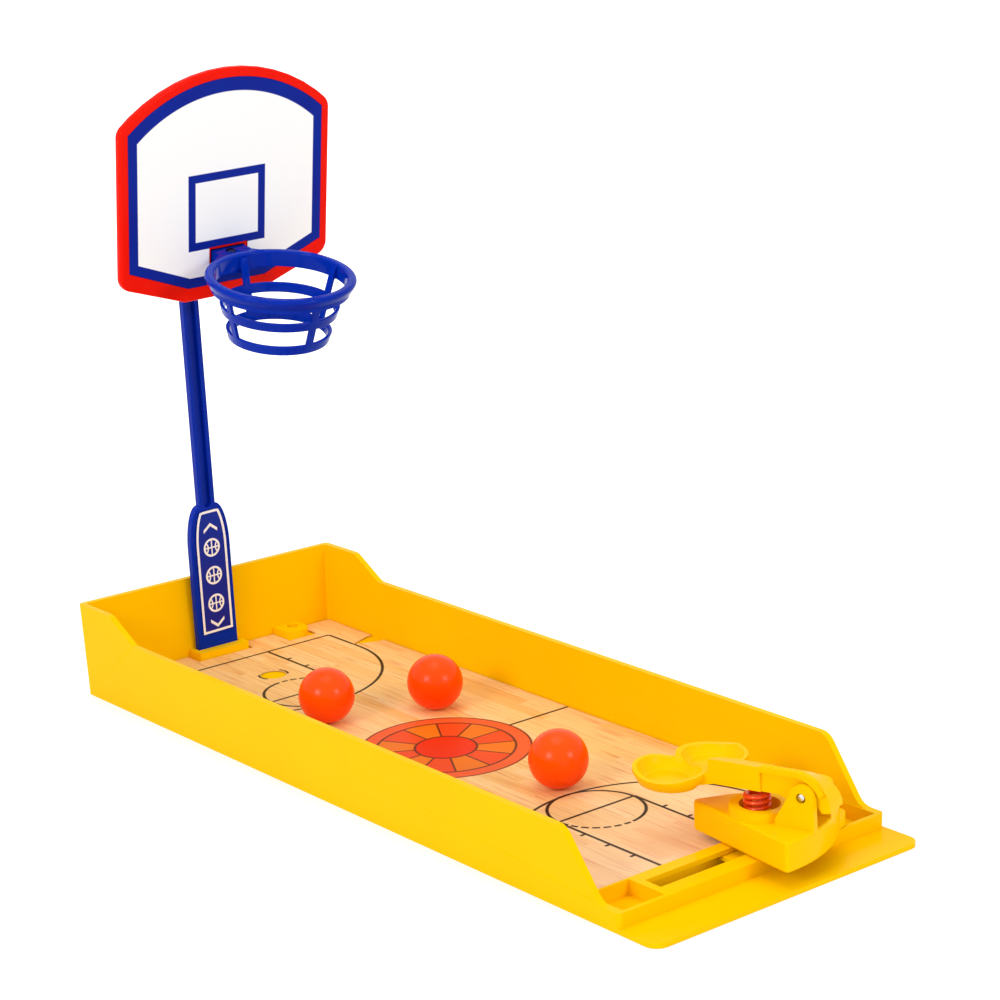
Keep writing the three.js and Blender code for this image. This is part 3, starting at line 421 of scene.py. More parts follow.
# Pole
# A blue polystyrene bar that plugs into the socket and leans back a little. A groove runs down its
# stem, which widens with round shoulders into a flat paddle that carries the label.
pole_foot = -6.5
pole_length = 184
pole_thick = 3.4
pole_edge = 0.45
stem_half = 3.9
paddle_half = 9.75
paddle_top = 45
shoulder_top = 63.5
groove_half = 1.85
groove_deep = 1.9
groove_foot = 62.3
pole_spot = (-0.9, 160.7, 8.3)
pole_sway = math.radians(-1.7)
pole_lean = math.radians(1.3)
goal_place = (Matrix.Translation(pole_spot) @ Matrix.Rotation(pole_sway, 4, "Y")
              @ Matrix.Rotation(pole_lean, 4, "X"))


def pole_side(margin, from_z, to_z):
    """The pole's right-hand side from below, with its round shoulder, moved inwards by a margin."""
    points = [(paddle_half - margin, from_z)]
    for i in range(21):
        swing = math.pi / 2 * i / 20
        z = paddle_top + (shoulder_top - paddle_top) * math.sin(swing)
        if z < to_z:
            points.append((stem_half + (paddle_half - stem_half) * math.cos(swing) - margin, z))
    return points


def mirrored(right):
    """A closed outline, counter-clockwise, from its right-hand side."""
    return right + [(-x, z) for x, z in reversed(right)]


def inset(points, distance):
    """The same outline moved inwards by one distance all round."""
    moved = []
    for i, (x, y) in enumerate(points):
        before = Vector(points[i - 1])
        after = Vector(points[(i + 1) % len(points)])
        here = Vector((x, y))
        first = (here - before).normalized()
        second = (after - here).normalized()
        first = Vector((-first.y, first.x))
        mitre = (first + Vector((-second.y, second.x))).normalized()
        moved.append(here + mitre * (distance / max(mitre.dot(first), 0.3)))
    return moved


def slab(points, front, back, edge=0.0, steps=4):
    """A slab between two depths, its outline in X and Z, with quarter-round edges."""
    form = bmesh.new()
    levels = [(front, 0.0), (back, 0.0)]
    if edge:
        turns = [math.pi / 2 * k / steps for k in range(steps + 1)]
        levels = [(front + edge * (1 - math.sin(a)), edge * (1 - math.cos(a))) for a in reversed(turns)]
        levels += [(back - edge * (1 - math.sin(a)), edge * (1 - math.cos(a))) for a in turns]
    rings = [[form.verts.new((x, y, z)) for x, z in (inset(points, margin) if margin else points)]
             for y, margin in levels]
    form.faces.new(rings[0])
    form.faces.new(list(reversed(rings[-1])))
    for near, far in zip(rings, rings[1:]):
        for k in range(len(points)):
            after = (k + 1) % len(points)
            form.faces.new([near[k], far[k], far[after], near[after]])
    return form


def carved(form, *tools):
    """A form with other forms cut out of it."""
    bmesh.ops.recalc_face_normals(form, faces=form.faces)
    whole = bpy.data.meshes.new("whole")
    form.to_mesh(whole)
    work = bpy.data.objects.new("work", whole)
    bpy.context.scene.collection.objects.link(work)
    helpers = []
    for tool in tools:
        bmesh.ops.recalc_face_normals(tool, faces=tool.faces)
        mesh = bpy.data.meshes.new("tool")
        tool.to_mesh(mesh)
        tool.free()
        helper = bpy.data.objects.new("tool", mesh)
        bpy.context.scene.collection.objects.link(helper)
        cut = work.modifiers.new("cut", "BOOLEAN")
        cut.operation = "DIFFERENCE"
        cut.solver = "EXACT"
        cut.object = helper
        helpers.append(helper)
    bpy.context.view_layer.update()
    done = work.evaluated_get(bpy.context.evaluated_depsgraph_get()).to_mesh()
    form.clear()
    form.from_mesh(done)
    for thing in [work, *helpers]:
        bpy.data.objects.remove(thing)
    return form


def joined(form, other):
    """A form with another form added to it."""
    spare = bpy.data.meshes.new("spare")
    other.to_mesh(spare)
    other.free()
    form.from_mesh(spare)
    bpy.data.meshes.remove(spare)
    return form


def arc(x, y, radius, start, end, steps):
    """Points on an arc, its angles in degrees."""
    angles = [math.radians(start + (end - start) * k / steps) for k in range(steps + 1)]
    return [(x + radius * math.cos(a), y + radius * math.sin(a)) for a in angles]


blue = plastic("blue_moulding", paint(2, 46, 172), paint(2, 32, 146), 0.1, 0.1, 0.07)
pole_form = slab(mirrored(pole_side(0, pole_foot, pole_length) + [(stem_half, pole_length)]),
                 0, pole_thick, pole_edge)
groove = slab(arc(0, groove_foot + groove_half, groove_half, 180, 360, 16)
              + [(groove_half, pole_length + 1), (-groove_half, pole_length + 1)], -1, groove_deep)
set_in_place("pole_bar", rounded(carved(pole_form, groove), 0.22), [blue], "frame", ["pole"],
             goal_place)

# Pole label
# A printed film with a thin white border, stuck to the front of the paddle. It carries no words:
# three plain ringed balls between arrowheads stand in its middle.
label_inset = 2.3
label_low = 6.6
label_high = 61
label_border = 1.05
label_front = -0.6
label_back = -0.3
label_middle = 32
label_crown_share = 0.65
motif_pitch = 12.5
motif_rows = 1.5
mark_radius = 3.6

film, film_surface, film_spot = new_finish("label_print")
edge_film, edge_surface, edge_spot = new_finish("label_border")
from_side = film_spot.axis("X")
up = film_spot.axis("Z")
high = up - label_middle
rows = high / motif_pitch
row = abs(rows - (rows + 0.5).maths("FLOOR")) * motif_pitch
in_rows = (abs(high) - motif_pitch * motif_rows).inside(0.2)
to_ball = far_from(from_side, row)
ringed = line(to_ball - mark_radius, 0.45, 0.15)
seams = most(line(from_side, 0.3, 0.15), line(row, 0.3, 0.15))
curves = line(far_from(abs(from_side) - 5.2, row) - 3.4, 0.3, 0.15)
ball_mark = most(ringed, most(seams, curves) * (to_ball - mark_radius).inside(0.15)) * in_rows
head = abs(high) - motif_pitch * motif_rows - 1.6 + abs(from_side) * 0.8
arrow = line(head - 2.4, 0.7, 0.2) * (abs(from_side) - 3.4).inside(0.2)
marks = most(ball_mark, arrow)
navy = (up / 60).held().mixed(paint(34, 34, 138), paint(26, 48, 152))
feed(film_surface, Base_Color=marks.mixed(navy, paint(246, 244, 240)),
     Roughness=0.3 + film_spot.cloud(4, 3) * 0.1,
     Normal=film_spot.node("ShaderNodeBump", {
         "Strength": 0.2, "Distance": 0.0003, "Height": film_spot.cloud(7) + marks * 0.1}))
feed(edge_surface, Base_Color=edge_spot.cloud(3, 4).mixed(paint(240, 240, 240), paint(252, 250, 246)),
     Roughness=0.3 + edge_spot.cloud(4, 3) * 0.1)
film_surface.inputs["Specular IOR Level"].default_value = 0.06
edge_surface.inputs["Specular IOR Level"].default_value = 0.06


def film_piece(points, border, front, back):
    """A thin film with a border of even width as its own strip of faces."""
    form = slab(points, front, back)
    form.faces.ensure_lookup_table()
    face = form.faces[0]
    inner = [form.verts.new((x, front, z)) for x, z in inset(points, border)]
    outer = [v for v in form.verts if abs(v.co.y - front) < 1e-6 and v not in inner]
    bmesh.ops.delete(form, geom=[face], context="FACES_ONLY")
    for k in range(len(points)):
        after = (k + 1) % len(points)
        form.faces.new([outer[k], outer[after], inner[after], inner[k]]).material_index = 1
    form.faces.new(inner)
    return form


def in_metres(place):
    """A place in millimetres as the same place in metres."""
    return Matrix.LocRotScale(place.to_translation() * millimetre, place.to_quaternion(), None)


label_right = pole_side(label_inset, label_low, label_high)
label_right.append((label_right[-1][0] * label_crown_share, label_high))
label_form = film_piece(mirrored(label_right), label_border, label_front, label_back)
label = set_in_place("pole_film", label_form, [film, edge_film], None, ["pole_label"])
label.matrix_world = in_metres(goal_place)
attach(label, "frame")

# Arm behind the board
# A blue moulding with a sleeve that slips over the pole's top, a webbed strut and a flange with a
# tongue that the hoop's bracket slides onto.
set_in_place("arm_moulding", from_solid("board_arm", 0.3), [blue], "frame", ["board_arm"])

# Backboard
# A red polystyrene plate with a bowed top and full round edges, cut out where the hoop's bracket
# passes through, with a shallow recess for its printed face.
board_thick = 3.7
board_edge = 1.2
board_margin = 3.9
board_corner = 6
band_half = 45.8
band_lower = 9.1
band_bottom = -1.8
band_flat = 18.4
crown_radius = 69.3
crown_middle = 12.8
recess_deep = 0.6
recess_gap = 0.15
board_foot_margin = 5.9
corner_share = 1.2
opening_left = -7.4
opening_right = 9.0
opening_low = 5.1
opening_high = 12.7
board_ahead = -29
board_up = 166.2
board_lean = math.radians(8.1)
board_place = (goal_place @ Matrix.Translation((0, board_ahead, board_up))
               @ Matrix.Rotation(board_lean, 4, "X"))


def outline(corners, steps=10):
    """An outline from corners of x, z and radius; a corner with a radius becomes an arc."""
    points = []
    for i, (x, z, radius) in enumerate(corners):
        here = Vector((x, z))
        if not radius:
            points.append(here)
            continue
        back = (Vector(corners[i - 1][:2]) - here).normalized()
        ahead = (Vector(corners[(i + 1) % len(corners)][:2]) - here).normalized()
        half = back.angle(ahead) / 2
        middle = here + (back + ahead).normalized() * (radius / math.sin(half))
        start = here + back * (radius / math.tan(half)) - middle
        stop = here + ahead * (radius / math.tan(half)) - middle
        begin = math.atan2(start.y, start.x)
        sweep = math.atan2(stop.y, stop.x) - begin
        sweep = math.atan2(math.sin(sweep), math.cos(sweep))
        points += [middle + radius * Vector((math.cos(begin + sweep * k / steps),
                                             math.sin(begin + sweep * k / steps)))
                   for k in range(steps + 1)]
    return [tuple(p) for p in points]


def board_corners(margin, radius, foot_margin, crown_steps=40):
    """The board's corners, moved out from the print's edge by a margin, and more along its foot."""
    slope = (band_lower - band_bottom) / (band_half - band_flat)
    slant = math.hypot(1, slope)
    half = band_half + margin
    lower = band_bottom + (half - band_flat) * slope - foot_margin * slant * corner_share
    flat = band_flat + foot_margin * (slant - 1) / slope
    crown = math.degrees(math.asin(half / (crown_radius + margin)))
    top = arc(0, crown_middle, crown_radius + margin, 90 - crown, 90 + crown, crown_steps)
    ends = (0, len(top) - 1)
    return ([(-half, lower, radius), (-flat, band_bottom - foot_margin, radius * 0.3),
             (flat, band_bottom - foot_margin, radius * 0.3), (half, lower, radius)]
            + [(x, z, radius if i in ends else 0) for i, (x, z) in enumerate(top)])


def opening_block(margin):
    """A block that cuts the way for the bracket, larger all round by a margin."""
    low, high = opening_low - margin, opening_high + margin
    left, right = opening_left - margin, opening_right + margin
    return slab([(left, low), (right, low), (right, high), (left, high)], -1, board_thick + 1)


red = plastic("red_moulding", paint(243, 25, 5), paint(236, 18, 4), 0.2, 0.1, 0.05)
board_form = slab(outline(board_corners(board_margin, board_corner, board_foot_margin, 14)),
                  0, board_thick, board_edge, 5)
recess = slab(outline(board_corners(recess_gap, 0, recess_gap)), -1, recess_deep)
set_in_place("board_plate", carved(board_form, recess, opening_block(0)), [red], "frame",
             ["backboard"], board_place)

# Board print
# A white film on the board's face with a navy band round its edge and a navy square above the hoop.
# It is cut out a little wider than the board round the bracket's way, so a red edge shows there.
band_width = 4.1
square_half = 18.3
square_low = 13.4
square_high = 44.7
square_line = 3.4
crown_band = 5.5
film_gap = 1.1
film_thick = 0.3

face, face_surface, face_spot = new_finish("board_print")
out = abs(face_spot.axis("X"))
up = face_spot.axis("Z")
slope_face = math.atan2(band_lower - band_bottom, band_half - band_flat)
from_slant = (up - band_bottom) * math.cos(slope_face) - (out - band_flat) * math.sin(slope_face)
from_crown = (crown_radius - far_from(out, up - crown_middle)) * (band_width / crown_band)
from_edge = least(least(band_half - out, from_crown),
                  least(from_slant, up - band_bottom))
banded = (from_edge - band_width).inside(0.25)
from_square = most(out - square_half, abs(up - (square_low + square_high) / 2)
                   - (square_high - square_low) / 2)
squared = line(from_square + square_line / 2, square_line / 2, 0.25)
band_tone = face_spot.cloud(20, 2).mixed(paint(18, 28, 132), paint(6, 42, 156))
face_surface.inputs["Specular IOR Level"].default_value = 0.06
feed(face_surface, Base_Color=most(banded, squared).mixed(paint(254, 254, 254), band_tone),
     Roughness=0.32 + face_spot.cloud(6, 3) * 0.1,
     Normal=face_spot.node("ShaderNodeBump", {
         "Strength": 0.2, "Distance": 0.0003, "Height": face_spot.cloud(14) + banded * 0.05}))
print_form = carved(slab(outline(board_corners(0, 0, 0)), 0, film_thick), opening_block(film_gap))
board_film = set_in_place("board_film", print_form, [face], None, ["board_print"])
board_film.matrix_world = in_metres(board_place)
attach(board_film, "frame")

# Hoop
# One blue moulding: a rolled rim over an inner band, two rings that narrow downwards on four ribs in
# place of a net, and a flared bracket that passes through the board.
hoop_reach = 37.8
rim_inner = 26.25
rim_outer = 29.9
rim_lip = 3.8
band_deep = 6.4
band_thick = 1.3
ring_thick = 1.4
foot_radius = 20.1
net_taper = 0.26
rib_top = -1.5
net_foot = -26.5
rings = ((-12, -15.8), (-22.5, -26.5))
rib_half = 1.6
bracket_left = -7.0
bracket_right = 8.6
bracket_flare = 14
bracket_top = -1.3
bracket_low = -8.0
bracket_back = 3.25
flare_run = 3
tongue_half = 6.3
tongue_low = -6.7
tongue_high = -2.7
screw_y = -3
hoop_level = 13.4
hoop_droop = math.radians(2.1)
hoop_place = (board_place @ Matrix.Translation((0, 0, hoop_level))
              @ Matrix.Rotation(hoop_droop, 4, "X"))


def net_radius(z):
    """The net's outer radius at a height under the rim's top."""
    return foot_radius + net_taper * (z - net_foot)


def softened(corners, radius, steps=4):
    """A closed profile with round corners, for turning."""
    return outline([(x, z, radius) for x, z in corners], steps)


def hoop_form():
    form = bmesh.new()
    lip = [(rim_inner, -band_deep), (rim_inner + band_thick, -band_deep),
           (rim_inner + band_thick, -rim_lip + 0.3)]
    lip += arc(rim_outer - 1.45, -rim_lip + 1.0, 1.0, 270, 300, 3)
    lip += arc(rim_outer - 1.4, -1.4, 1.4, -20, 90, 10)
    lip += arc(rim_inner + 1.0, -1.0, 1.0, 90, 180, 7)
    turned(lip, 144, form, True)
    for top, foot in rings:
        turned(softened([(net_radius(foot) - ring_thick, foot), (net_radius(foot), foot),
                         (net_radius(top), top), (net_radius(top) - ring_thick, top)], 0.35),
               144, form, True)
    for k in range(4):
        rib = slab(outline([(net_radius(net_foot) - ring_thick, net_foot, 0.3),
                            (net_radius(net_foot), net_foot, 0.3),
                            (net_radius(-band_deep), -band_deep, 0),
                            (rim_inner + 0.4, -band_deep + 0.4, 0),
                            (rim_inner + 0.4, rib_top, 0),
                            (net_radius(rib_top) - ring_thick, rib_top, 0)], 4),
                   -rib_half, rib_half, 0.35, 3)
        rib.transform(Matrix.Rotation(math.tau * k / 4, 4, "Z"))
        joined(form, rib)
    bmesh.ops.translate(form, vec=(0, -hoop_reach, 0), verts=form.verts)
    return form


flare_y = rim_outer - hoop_reach
block = bmesh.new()
block_points = [(-bracket_flare, flare_y - flare_run), (bracket_flare, flare_y - flare_run),
                (bracket_right, flare_y + flare_run), (bracket_right, bracket_back),
                (bracket_left, bracket_back), (bracket_left, flare_y + flare_run)]
lower = [block.verts.new((x, y, bracket_low)) for x, y in block_points]
upper = [block.verts.new((x, y, bracket_top)) for x, y in block_points]
block.faces.new(list(reversed(lower)))
block.faces.new(upper)
for k in range(6):
    block.faces.new([lower[k], lower[(k + 1) % 6], upper[(k + 1) % 6], upper[k]])
throat_radius = rim_inner + 0.1
throat = turned([(0, bracket_low - 1), (throat_radius, bracket_low - 1), (throat_radius, 1), (0, 1)], 96)
bmesh.ops.translate(throat, vec=(0, -hoop_reach, 0), verts=throat.verts)
tongue_slot = slab([(-tongue_half, tongue_low), (tongue_half, tongue_low),
                    (tongue_half, tongue_high), (-tongue_half, tongue_high)], -6.3, 4.7)
screw_seat = turned([(0, -1.9), (2.3, -1.9), (2.3, 1), (0, 1)], 32)
screw_way = turned([(0, -5), (1.1, -5), (1.1, 1), (0, 1)], 32)
for tool in (screw_seat, screw_way):
    bmesh.ops.translate(tool, vec=(0, screw_y, 0), verts=tool.verts)
block = rounded(carved(block, throat, tongue_slot, screw_seat, screw_way), 0.4)
set_in_place("hoop_moulding", joined(hoop_form(), block), [blue], "frame", ["hoop"],
             hoop_place)

# Screw in the bracket
# A small dark bluish steel screw with a domed cross-slot head, driven through the bracket into the
# tongue.
def steel(name, dark, pale):
    """Turned steel under its coat: fine brushed lines and a slightly uneven tone."""
    finish, surface, spot = new_finish(name)
    brushed = spot.stretched(1, 1, 0.2).cloud(0.25, 4, 0.6)
    feed(surface, Base_Color=spot.cloud(1.5, 3).mixed(dark, pale), Roughness=0.2 + brushed * 0.16,
         Normal=spot.node("ShaderNodeBump", {"Strength": 0.15, "Distance": 0.0001, "Height": brushed}))
    surface.inputs["Metallic"].default_value = 1.0
    return finish


dark_blue_steel = steel("dark_blue_screw_steel", paint(24, 26, 66), paint(40, 42, 84))


def cross_head_screw(shank_foot, head_low, shank, head, tall):
    """A screw that stands up, its thread left as fine rings on the shank and a cross cut in its head."""
    profile = [(0, shank_foot)]
    turns = int((head_low - shank_foot) / 0.5)
    for k in range(turns):
        z = shank_foot + (head_low - shank_foot) * k / turns
        profile += [(shank - 0.12, z), (shank, z + 0.22)]
    profile += [(shank, head_low), (head - 0.1, head_low), (head, head_low + 0.15)]
    profile += [(head * math.cos(a), head_low + 0.15 + (tall - 0.15) * math.sin(a))
                for a in (math.pi / 2 * k / 8 for k in range(1, 8))]
    profile += [(0, head_low + tall)]
    form = turned(profile, 40)
    arms = []
    for long, wide in ((head * 0.55, 0.22), (0.22, head * 0.55)):
        arm = bmesh.new()
        bmesh.ops.create_cube(arm, size=1)
        bmesh.ops.scale(arm, vec=(2 * long, 2 * wide, 1.2), verts=arm.verts)
        bmesh.ops.translate(arm, vec=(0, 0, head_low + tall), verts=arm.verts)
        arms.append(arm)
    return carved(form, *arms)


bracket_screw = cross_head_screw(-5.8, -1.6, 0.8, 2.0, 1.1)
bmesh.ops.translate(bracket_screw, vec=(0, screw_y, 0), verts=bracket_screw.verts)
set_in_place("bracket_screw", bracket_screw, [dark_blue_steel], "frame", ["hoop_screw"],
             hoop_place)

# Slide shoe
# A yellow moulding under the slot's rails. Its collar fills the slot and its bore takes the post.
set_in_place("shoe_moulding", from_solid("slide_shoe", 0.3), [yellow], "slider", ["slide_shoe"])

# Launcher base
# A hollow yellow wedge with a bowed front and a finger tab. It carries a round wall for the spring,
# two ears for the pin and a post that turns in the shoe. The cap of its far ear is the lower one.
post_spot = (12.2, -156.4, 0)
launcher_turn = math.radians(20)
launcher_place = Matrix.Translation(post_spot) @ Matrix.Rotation(launcher_turn, 4, "Z")
far_ear_x = 5
ear_cap = 31.5
ear_cap_share = 0.35
base_form = from_solid("launcher_base", 0.45)
base_form.transform(launcher_place.inverted())
for vert in base_form.verts:
    if vert.co.x > far_ear_x and vert.co.z > ear_cap:
        vert.co.z = ear_cap + (vert.co.z - ear_cap) * ear_cap_share
set_in_place("base_moulding", base_form, [yellow], "launcher", ["launcher_base"],
             launcher_place)

# Washer and screw under the base
# A plain steel washer and a dome-headed screw hold the base down on its shoe.
plated_steel = steel("plated_steel", paint(196, 198, 202), paint(222, 222, 220))
washer_hole = 1.2
washer_radius = 4.2
low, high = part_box("swivel_washer")
washer_low = low.z / millimetre
washer_high = high.z / millimetre
washer_corners = [(washer_hole, washer_low), (washer_radius, washer_low),
                  (washer_radius, washer_high), (washer_hole, washer_high)]
washer = turned(softened(washer_corners, 0.12), 64, None, True)
set_in_place("washer_disc", washer, [plated_steel], "launcher", ["swivel_washer"],
             launcher_place)
low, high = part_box("swivel_screw")
screw_low = low.z / millimetre
screw_high = high.z / millimetre
under_screw = cross_head_screw(-screw_high, -screw_low - 1.1, 0.9, 2.4, 1.1)
under_screw.transform(Matrix.Rotation(math.pi, 4, "X"))
set_in_place("swivel_screw_turned", under_screw, [plated_steel], "launcher", ["swivel_screw"],
             launcher_place)

# Pin
# A plain steel rod through both ears and the arm, with chamfered ends.
pin_radius = 1.5
pin_reach = 7.8
pin_chamfer = 0.3
pin_y = -18.8
pin_z = 29.5
pin_end = pin_radius - 0.35
pin = turned([(0, -pin_reach), (pin_end, -pin_reach), (pin_radius, pin_chamfer - pin_reach),
              (pin_radius, pin_reach - pin_chamfer), (pin_end, pin_reach), (0, pin_reach)], 48)
pin.transform(launcher_place @ Matrix.Translation((0, pin_y, pin_z))
              @ Matrix.Rotation(math.pi / 2, 4, "Y"))
set_in_place("pin_rod", pin, [plated_steel], "launcher", ["pivot_pin"])

# Launching arm
# A yellow moulding that rocks on the pin: a beam with a curved finger end behind, a thin rim along
# its near side above the ear, and two open cups in front, each dished to hold a ball.
arm_top = 35
arm_side = 6.3
lean_middle = 0.6
lean_slope = -0.286
tail_start = -16
tail_end = -28.5
tail_low = 24.6
cups = ((-8.2, 30.4, math.radians(4), 0.2), (11, 23.5, math.radians(3), 0))
cup_outer = 12.8
cup_inner = 11.25
cup_rim = 33
well_top = arm_top + 3
cup_blend = 4
head_front = 16.75
flange_low_y = -3
flange_thick = 1.5
flange_end = -27.6
flange_wide = 2.2
flange_sweep = 60
flange_steps = 12


def leant(place):
    """The arm's top leans: its side towards the board's left stands higher than the other."""
    rise = lean_middle + lean_slope * place.x
    if place.y >= tail_start:
        return place + Vector((0, 0, arm_top + rise - place.z)) if place.z > cup_rim + 0.4 else place
    up_share = (place.z - tail_low) / (arm_top - tail_low)
    back_share = (place.y - tail_start) / (tail_end - tail_start)
    on_tail = up_share > 0 and up_share ** 2 + back_share ** 2 > 0.86
    return place + Vector((0, 0, rise * up_share)) if on_tail else place


def pitched(place):
    """Each cup is pitched about its rim, lower behind than in front, and the neck follows it."""
    x, y, tilt, drop = min(cups, key=lambda cup: math.hypot(place.x - cup[0], place.y - cup[1]))
    far = math.hypot(place.x - x, place.y - y)
    on_head = abs(place.x) < arm_side + 0.05 and place.y < head_front
    share = min(max(1 - (far - cup_outer) / cup_blend, 0), 1)
    if place.z > cup_rim + 0.3 or (on_head and far > cup_outer):
        return place
    along_cup, over_rim = place.y - y, place.z - cup_rim
    tilted = Vector((place.x, y + along_cup * math.cos(tilt) - over_rim * math.sin(tilt),
                     cup_rim - drop + along_cup * math.sin(tilt) + over_rim * math.cos(tilt)))
    return place.lerp(tilted, share)


arm_form = from_solid("launcher_arm", 0)
arm_form.transform(launcher_place.inverted())
cleared = []
for x, y, _, _ in cups:
    well = turned([(0, cup_rim), (cup_inner, cup_rim), (cup_inner, well_top), (0, well_top)], 96)
    bmesh.ops.translate(well, vec=(x, y, 0), verts=well.verts)
    cleared.append(well)
arm_form = carved(arm_form, *cleared)
bmesh.ops.remove_doubles(arm_form, verts=arm_form.verts, dist=0.01)
rounded(arm_form, 0.5)
for vert in arm_form.verts:
    vert.co = pitched(leant(vert.co.copy()))
near_rise = lean_middle - lean_slope * arm_side
flange_top = [(flange_low_y, arm_top + near_rise)]
flange_under = [(flange_low_y, arm_top + near_rise - flange_thick)]
for i in range(flange_steps + 1):
    swing = math.radians(flange_sweep * i / flange_steps)
    for rim, less in ((flange_top, 0), (flange_under, flange_thick)):
        rim.append((tail_start + (flange_end - tail_start + less) * math.sin(swing),
                    tail_low + (arm_top + near_rise - tail_low - less) * math.cos(swing)))
flange = slab(flange_under + list(reversed(flange_top)), -arm_side, flange_wide - arm_side, 0.35, 3)
for vert in flange.verts:
    vert.co.x, vert.co.y = vert.co.y, vert.co.x
bmesh.ops.recalc_face_normals(flange, faces=flange.faces)
set_in_place("arm_lever", joined(arm_form, flange), [yellow], "arm", ["launcher_arm"],
             launcher_place)

# Spring
# Orange-red lacquered wire wound into a short open coil. Its lower end stands in the base's round
# seat and its upper end under the arm.
coil_radius = 4.0
wire_radius = 0.95
coil_low = 17.6
coil_high = 28.0
coil_turns = 3
coil_y = 1

wire, wire_surface, wire_spot = new_finish("spring_wire")
drawn = wire_spot.cloud(0.6, 4, 0.6)
feed(wire_surface, Base_Color=drawn.mixed(paint(252, 92, 20), paint(226, 54, 8)),
     Roughness=0.1 + drawn * 0.08, Metallic=0.2 + drawn * 0.1,
     Normal=wire_spot.node("ShaderNodeBump", {"Strength": 0.2, "Distance": 0.0001, "Height": drawn}))


def coil_form(around=14, per_turn=36):
    """A round wire swept up its coil, with a short straight start and end."""
    form = bmesh.new()
    low_level = coil_low + 2 * wire_radius
    rise = coil_high - coil_low - 4 * wire_radius
    steps = coil_turns * per_turn
    path = [Vector((coil_radius, coil_y, coil_low))]
    path += [Vector((coil_radius * math.cos(math.tau * i / per_turn),
                     coil_y + coil_radius * math.sin(math.tau * i / per_turn),
                     low_level + rise * i / steps)) for i in range(steps + 1)]
    path += [Vector((coil_radius, coil_y, coil_high))]
    loops = []
    for i, at in enumerate(path):
        along_wire = (path[min(i + 1, len(path) - 1)] - path[max(i - 1, 0)]).normalized()
        out_wire = (at - Vector((0, coil_y, at.z))).normalized()
        across_wire = along_wire.cross(out_wire).normalized()
        out_wire = across_wire.cross(along_wire).normalized()
        loops.append([form.verts.new(at + wire_radius * (
            out_wire * math.cos(math.tau * k / around) + across_wire * math.sin(math.tau * k / around)))
            for k in range(around)])
    for near, far in zip(loops, loops[1:]):
        for k in range(around):
            after = (k + 1) % around
            form.faces.new([near[k], near[after], far[after], far[k]])
    form.faces.new(list(reversed(loops[0])))
    form.faces.new(loops[-1])
    return form


coil = set_in_place("spring_coil", coil_form(), [wire], None, ["launch_spring"],
                    launcher_place, bends=True)
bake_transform(coil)

# Table and light
# The game stands on a plain white table top under a broad soft light from above and two smaller
# ones from the sides. What the camera sees of the table, and what a glossy piece mirrors, is lifted
# to white, more so further away and not at all under the tray; the game's own shadow stays.
table_reach = 4
table_level = -0.0002
glow_near = 0.4
glow_rise = 0.45
glow_start = 300
glow_run = 500
tray_half_width = 58
tray_half_length = 164
table_finish, table_surface, table_spot = new_finish("white_table")
table_tree = table_finish.node_tree
seen = table_spot.node("ShaderNodeLightPath", {}, out=0)
mirrored_ray = table_spot.node("ShaderNodeLightPath", {}, out=3)
bright = most(seen, mirrored_ray)
table_tone = table_spot.cloud(60, 2).mixed(paint(236, 236, 236), paint(240, 240, 240))
feed(table_surface, Base_Color=table_tone)
table_surface.inputs["Roughness"].default_value = 0.9
table_surface.inputs["Specular IOR Level"].default_value = 0.0
reach = table_spot.node("ShaderNodeVectorMath", {0: table_spot}, out=1, operation="LENGTH")
lift = glow_near + ((reach - glow_start) / glow_run).held() * glow_rise
beside = most(abs(table_spot.axis("X")) - tray_half_width,
              abs(table_spot.axis("Y")) - tray_half_length)
lift = lift * (1 - beside.inside(4))
glow = bright.node("ShaderNodeEmission", {0: (1, 1, 1, 1), 1: bright * lift})
both = glow.node("ShaderNodeAddShader", {0: Strand(table_tree, table_surface.outputs[0]), 1: glow})
table_tree.links.new(both.socket, table_tree.nodes["Material Output"].inputs[0])
table_form = bmesh.new()
bmesh.ops.create_grid(table_form, x_segments=2, y_segments=2, size=table_reach)
table_mesh = bpy.data.meshes.new("table_top")
table_form.to_mesh(table_mesh)
table_form.free()
table_mesh.materials.append(table_finish)
table = bpy.data.objects.new("table_top", table_mesh)
bpy.context.scene.collection.objects.link(table)
table.location.z = table_level

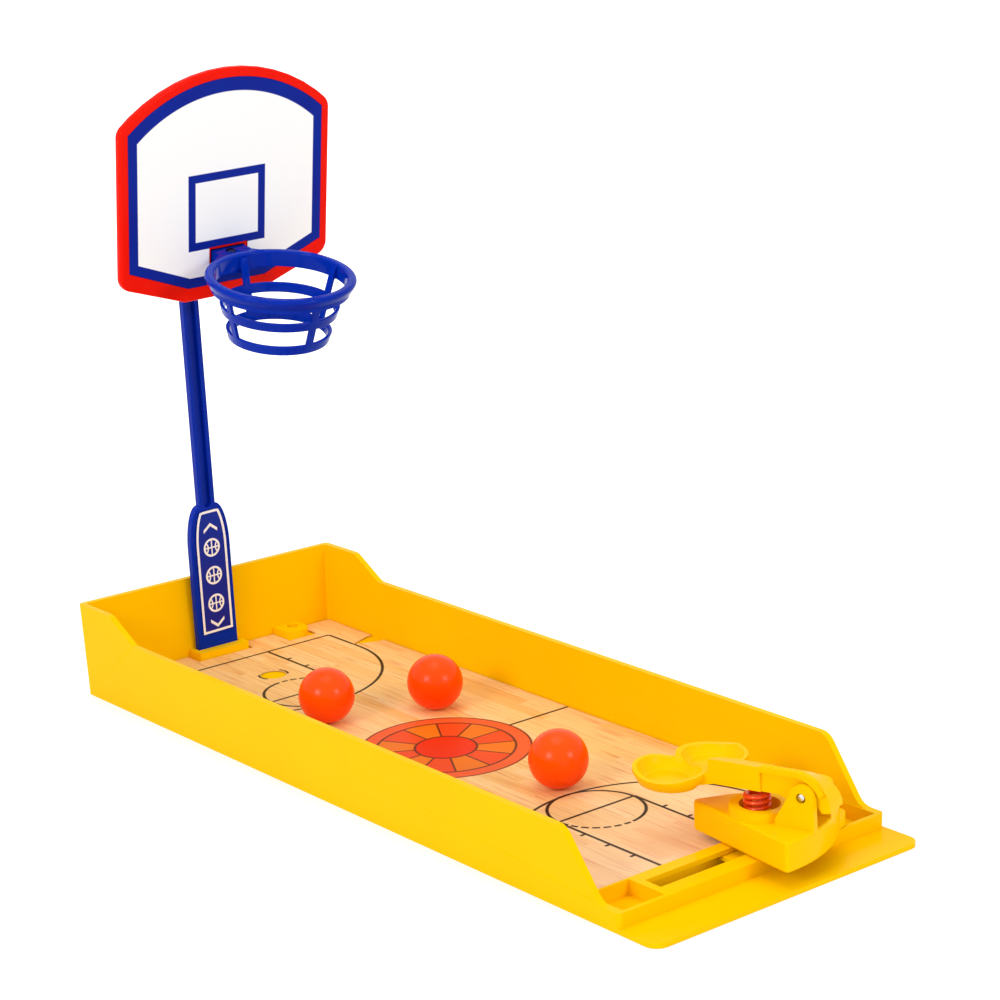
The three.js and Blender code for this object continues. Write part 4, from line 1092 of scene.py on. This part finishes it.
room = bpy.data.worlds.new("white_room")
bpy.context.scene.world = room
room.use_nodes = True
room_back = Strand(room.node_tree, room.node_tree.nodes["Background"].outputs[0])
rays = [room_back.node("ShaderNodeLightPath", {}, out=i) for i in (0, 3, 6)]
direct = most(most(rays[0], rays[1]), rays[2])
ambient = 0.68
room.node_tree.links.new((ambient + direct * (1 - ambient)).socket,
                         room.node_tree.nodes["Background"].inputs["Strength"])
room.node_tree.nodes["Background"].inputs["Color"].default_value = (1, 1, 1, 1)


def soft_light(name, at, aim, size, watts):
    """A square lamp that faces the place it is aimed at."""
    lamp = bpy.data.lights.new(name, "AREA")
    lamp.shape = "SQUARE"
    lamp.size = size
    lamp.energy = watts
    holder = bpy.data.objects.new(name, lamp)
    bpy.context.scene.collection.objects.link(holder)
    holder.location = at
    holder.rotation_euler = (Vector(aim) - Vector(at)).to_track_quat("-Z", "Y").to_euler()


soft_light("light_left", (-1.5, -0.3, 0.85), (0, 0, 0.08), 0.5, 10)
soft_light("light_right", (0.35, -1.6, 0.8), (0, 0, 0.08), 0.45, 7)
soft_light("light_above", (0, 0.1, 1.6), (0, 0, 0), 0.9, 5)

# Camera
# It stands in front and to the left of the game, a little above it, with a long lens.
camera_at = Vector((-0.5761, -0.7561, 0.3568))
camera_turn = math.radians(-38.6585)
camera_rise = math.radians(15.0257)
camera_roll = math.radians(-2.2154)
focal_pixels = 2615.82
frame_pixels = 1000
backward = Vector((math.sin(camera_turn) * math.cos(camera_rise),
                   -math.cos(camera_turn) * math.cos(camera_rise), math.sin(camera_rise)))
level_right = (-backward).cross(Vector((0, 0, 1))).normalized()
level_up = level_right.cross(-backward)
right = level_right * math.cos(camera_roll) + level_up * math.sin(camera_roll)
upward = level_up * math.cos(camera_roll) - level_right * math.sin(camera_roll)
lens = bpy.data.cameras.new("camera")
lens.sensor_width = 36
lens.lens = lens.sensor_width * focal_pixels / frame_pixels
lens.clip_start = 0.05
lens.clip_end = 50
camera = bpy.data.objects.new("camera", lens)
bpy.context.scene.collection.objects.link(camera)
camera_axes = Matrix((right, upward, backward)).transposed().to_4x4()
camera.matrix_world = Matrix.Translation(camera_at) @ camera_axes
bpy.context.scene.camera = camera
bpy.context.scene.view_settings.view_transform = "Standard"
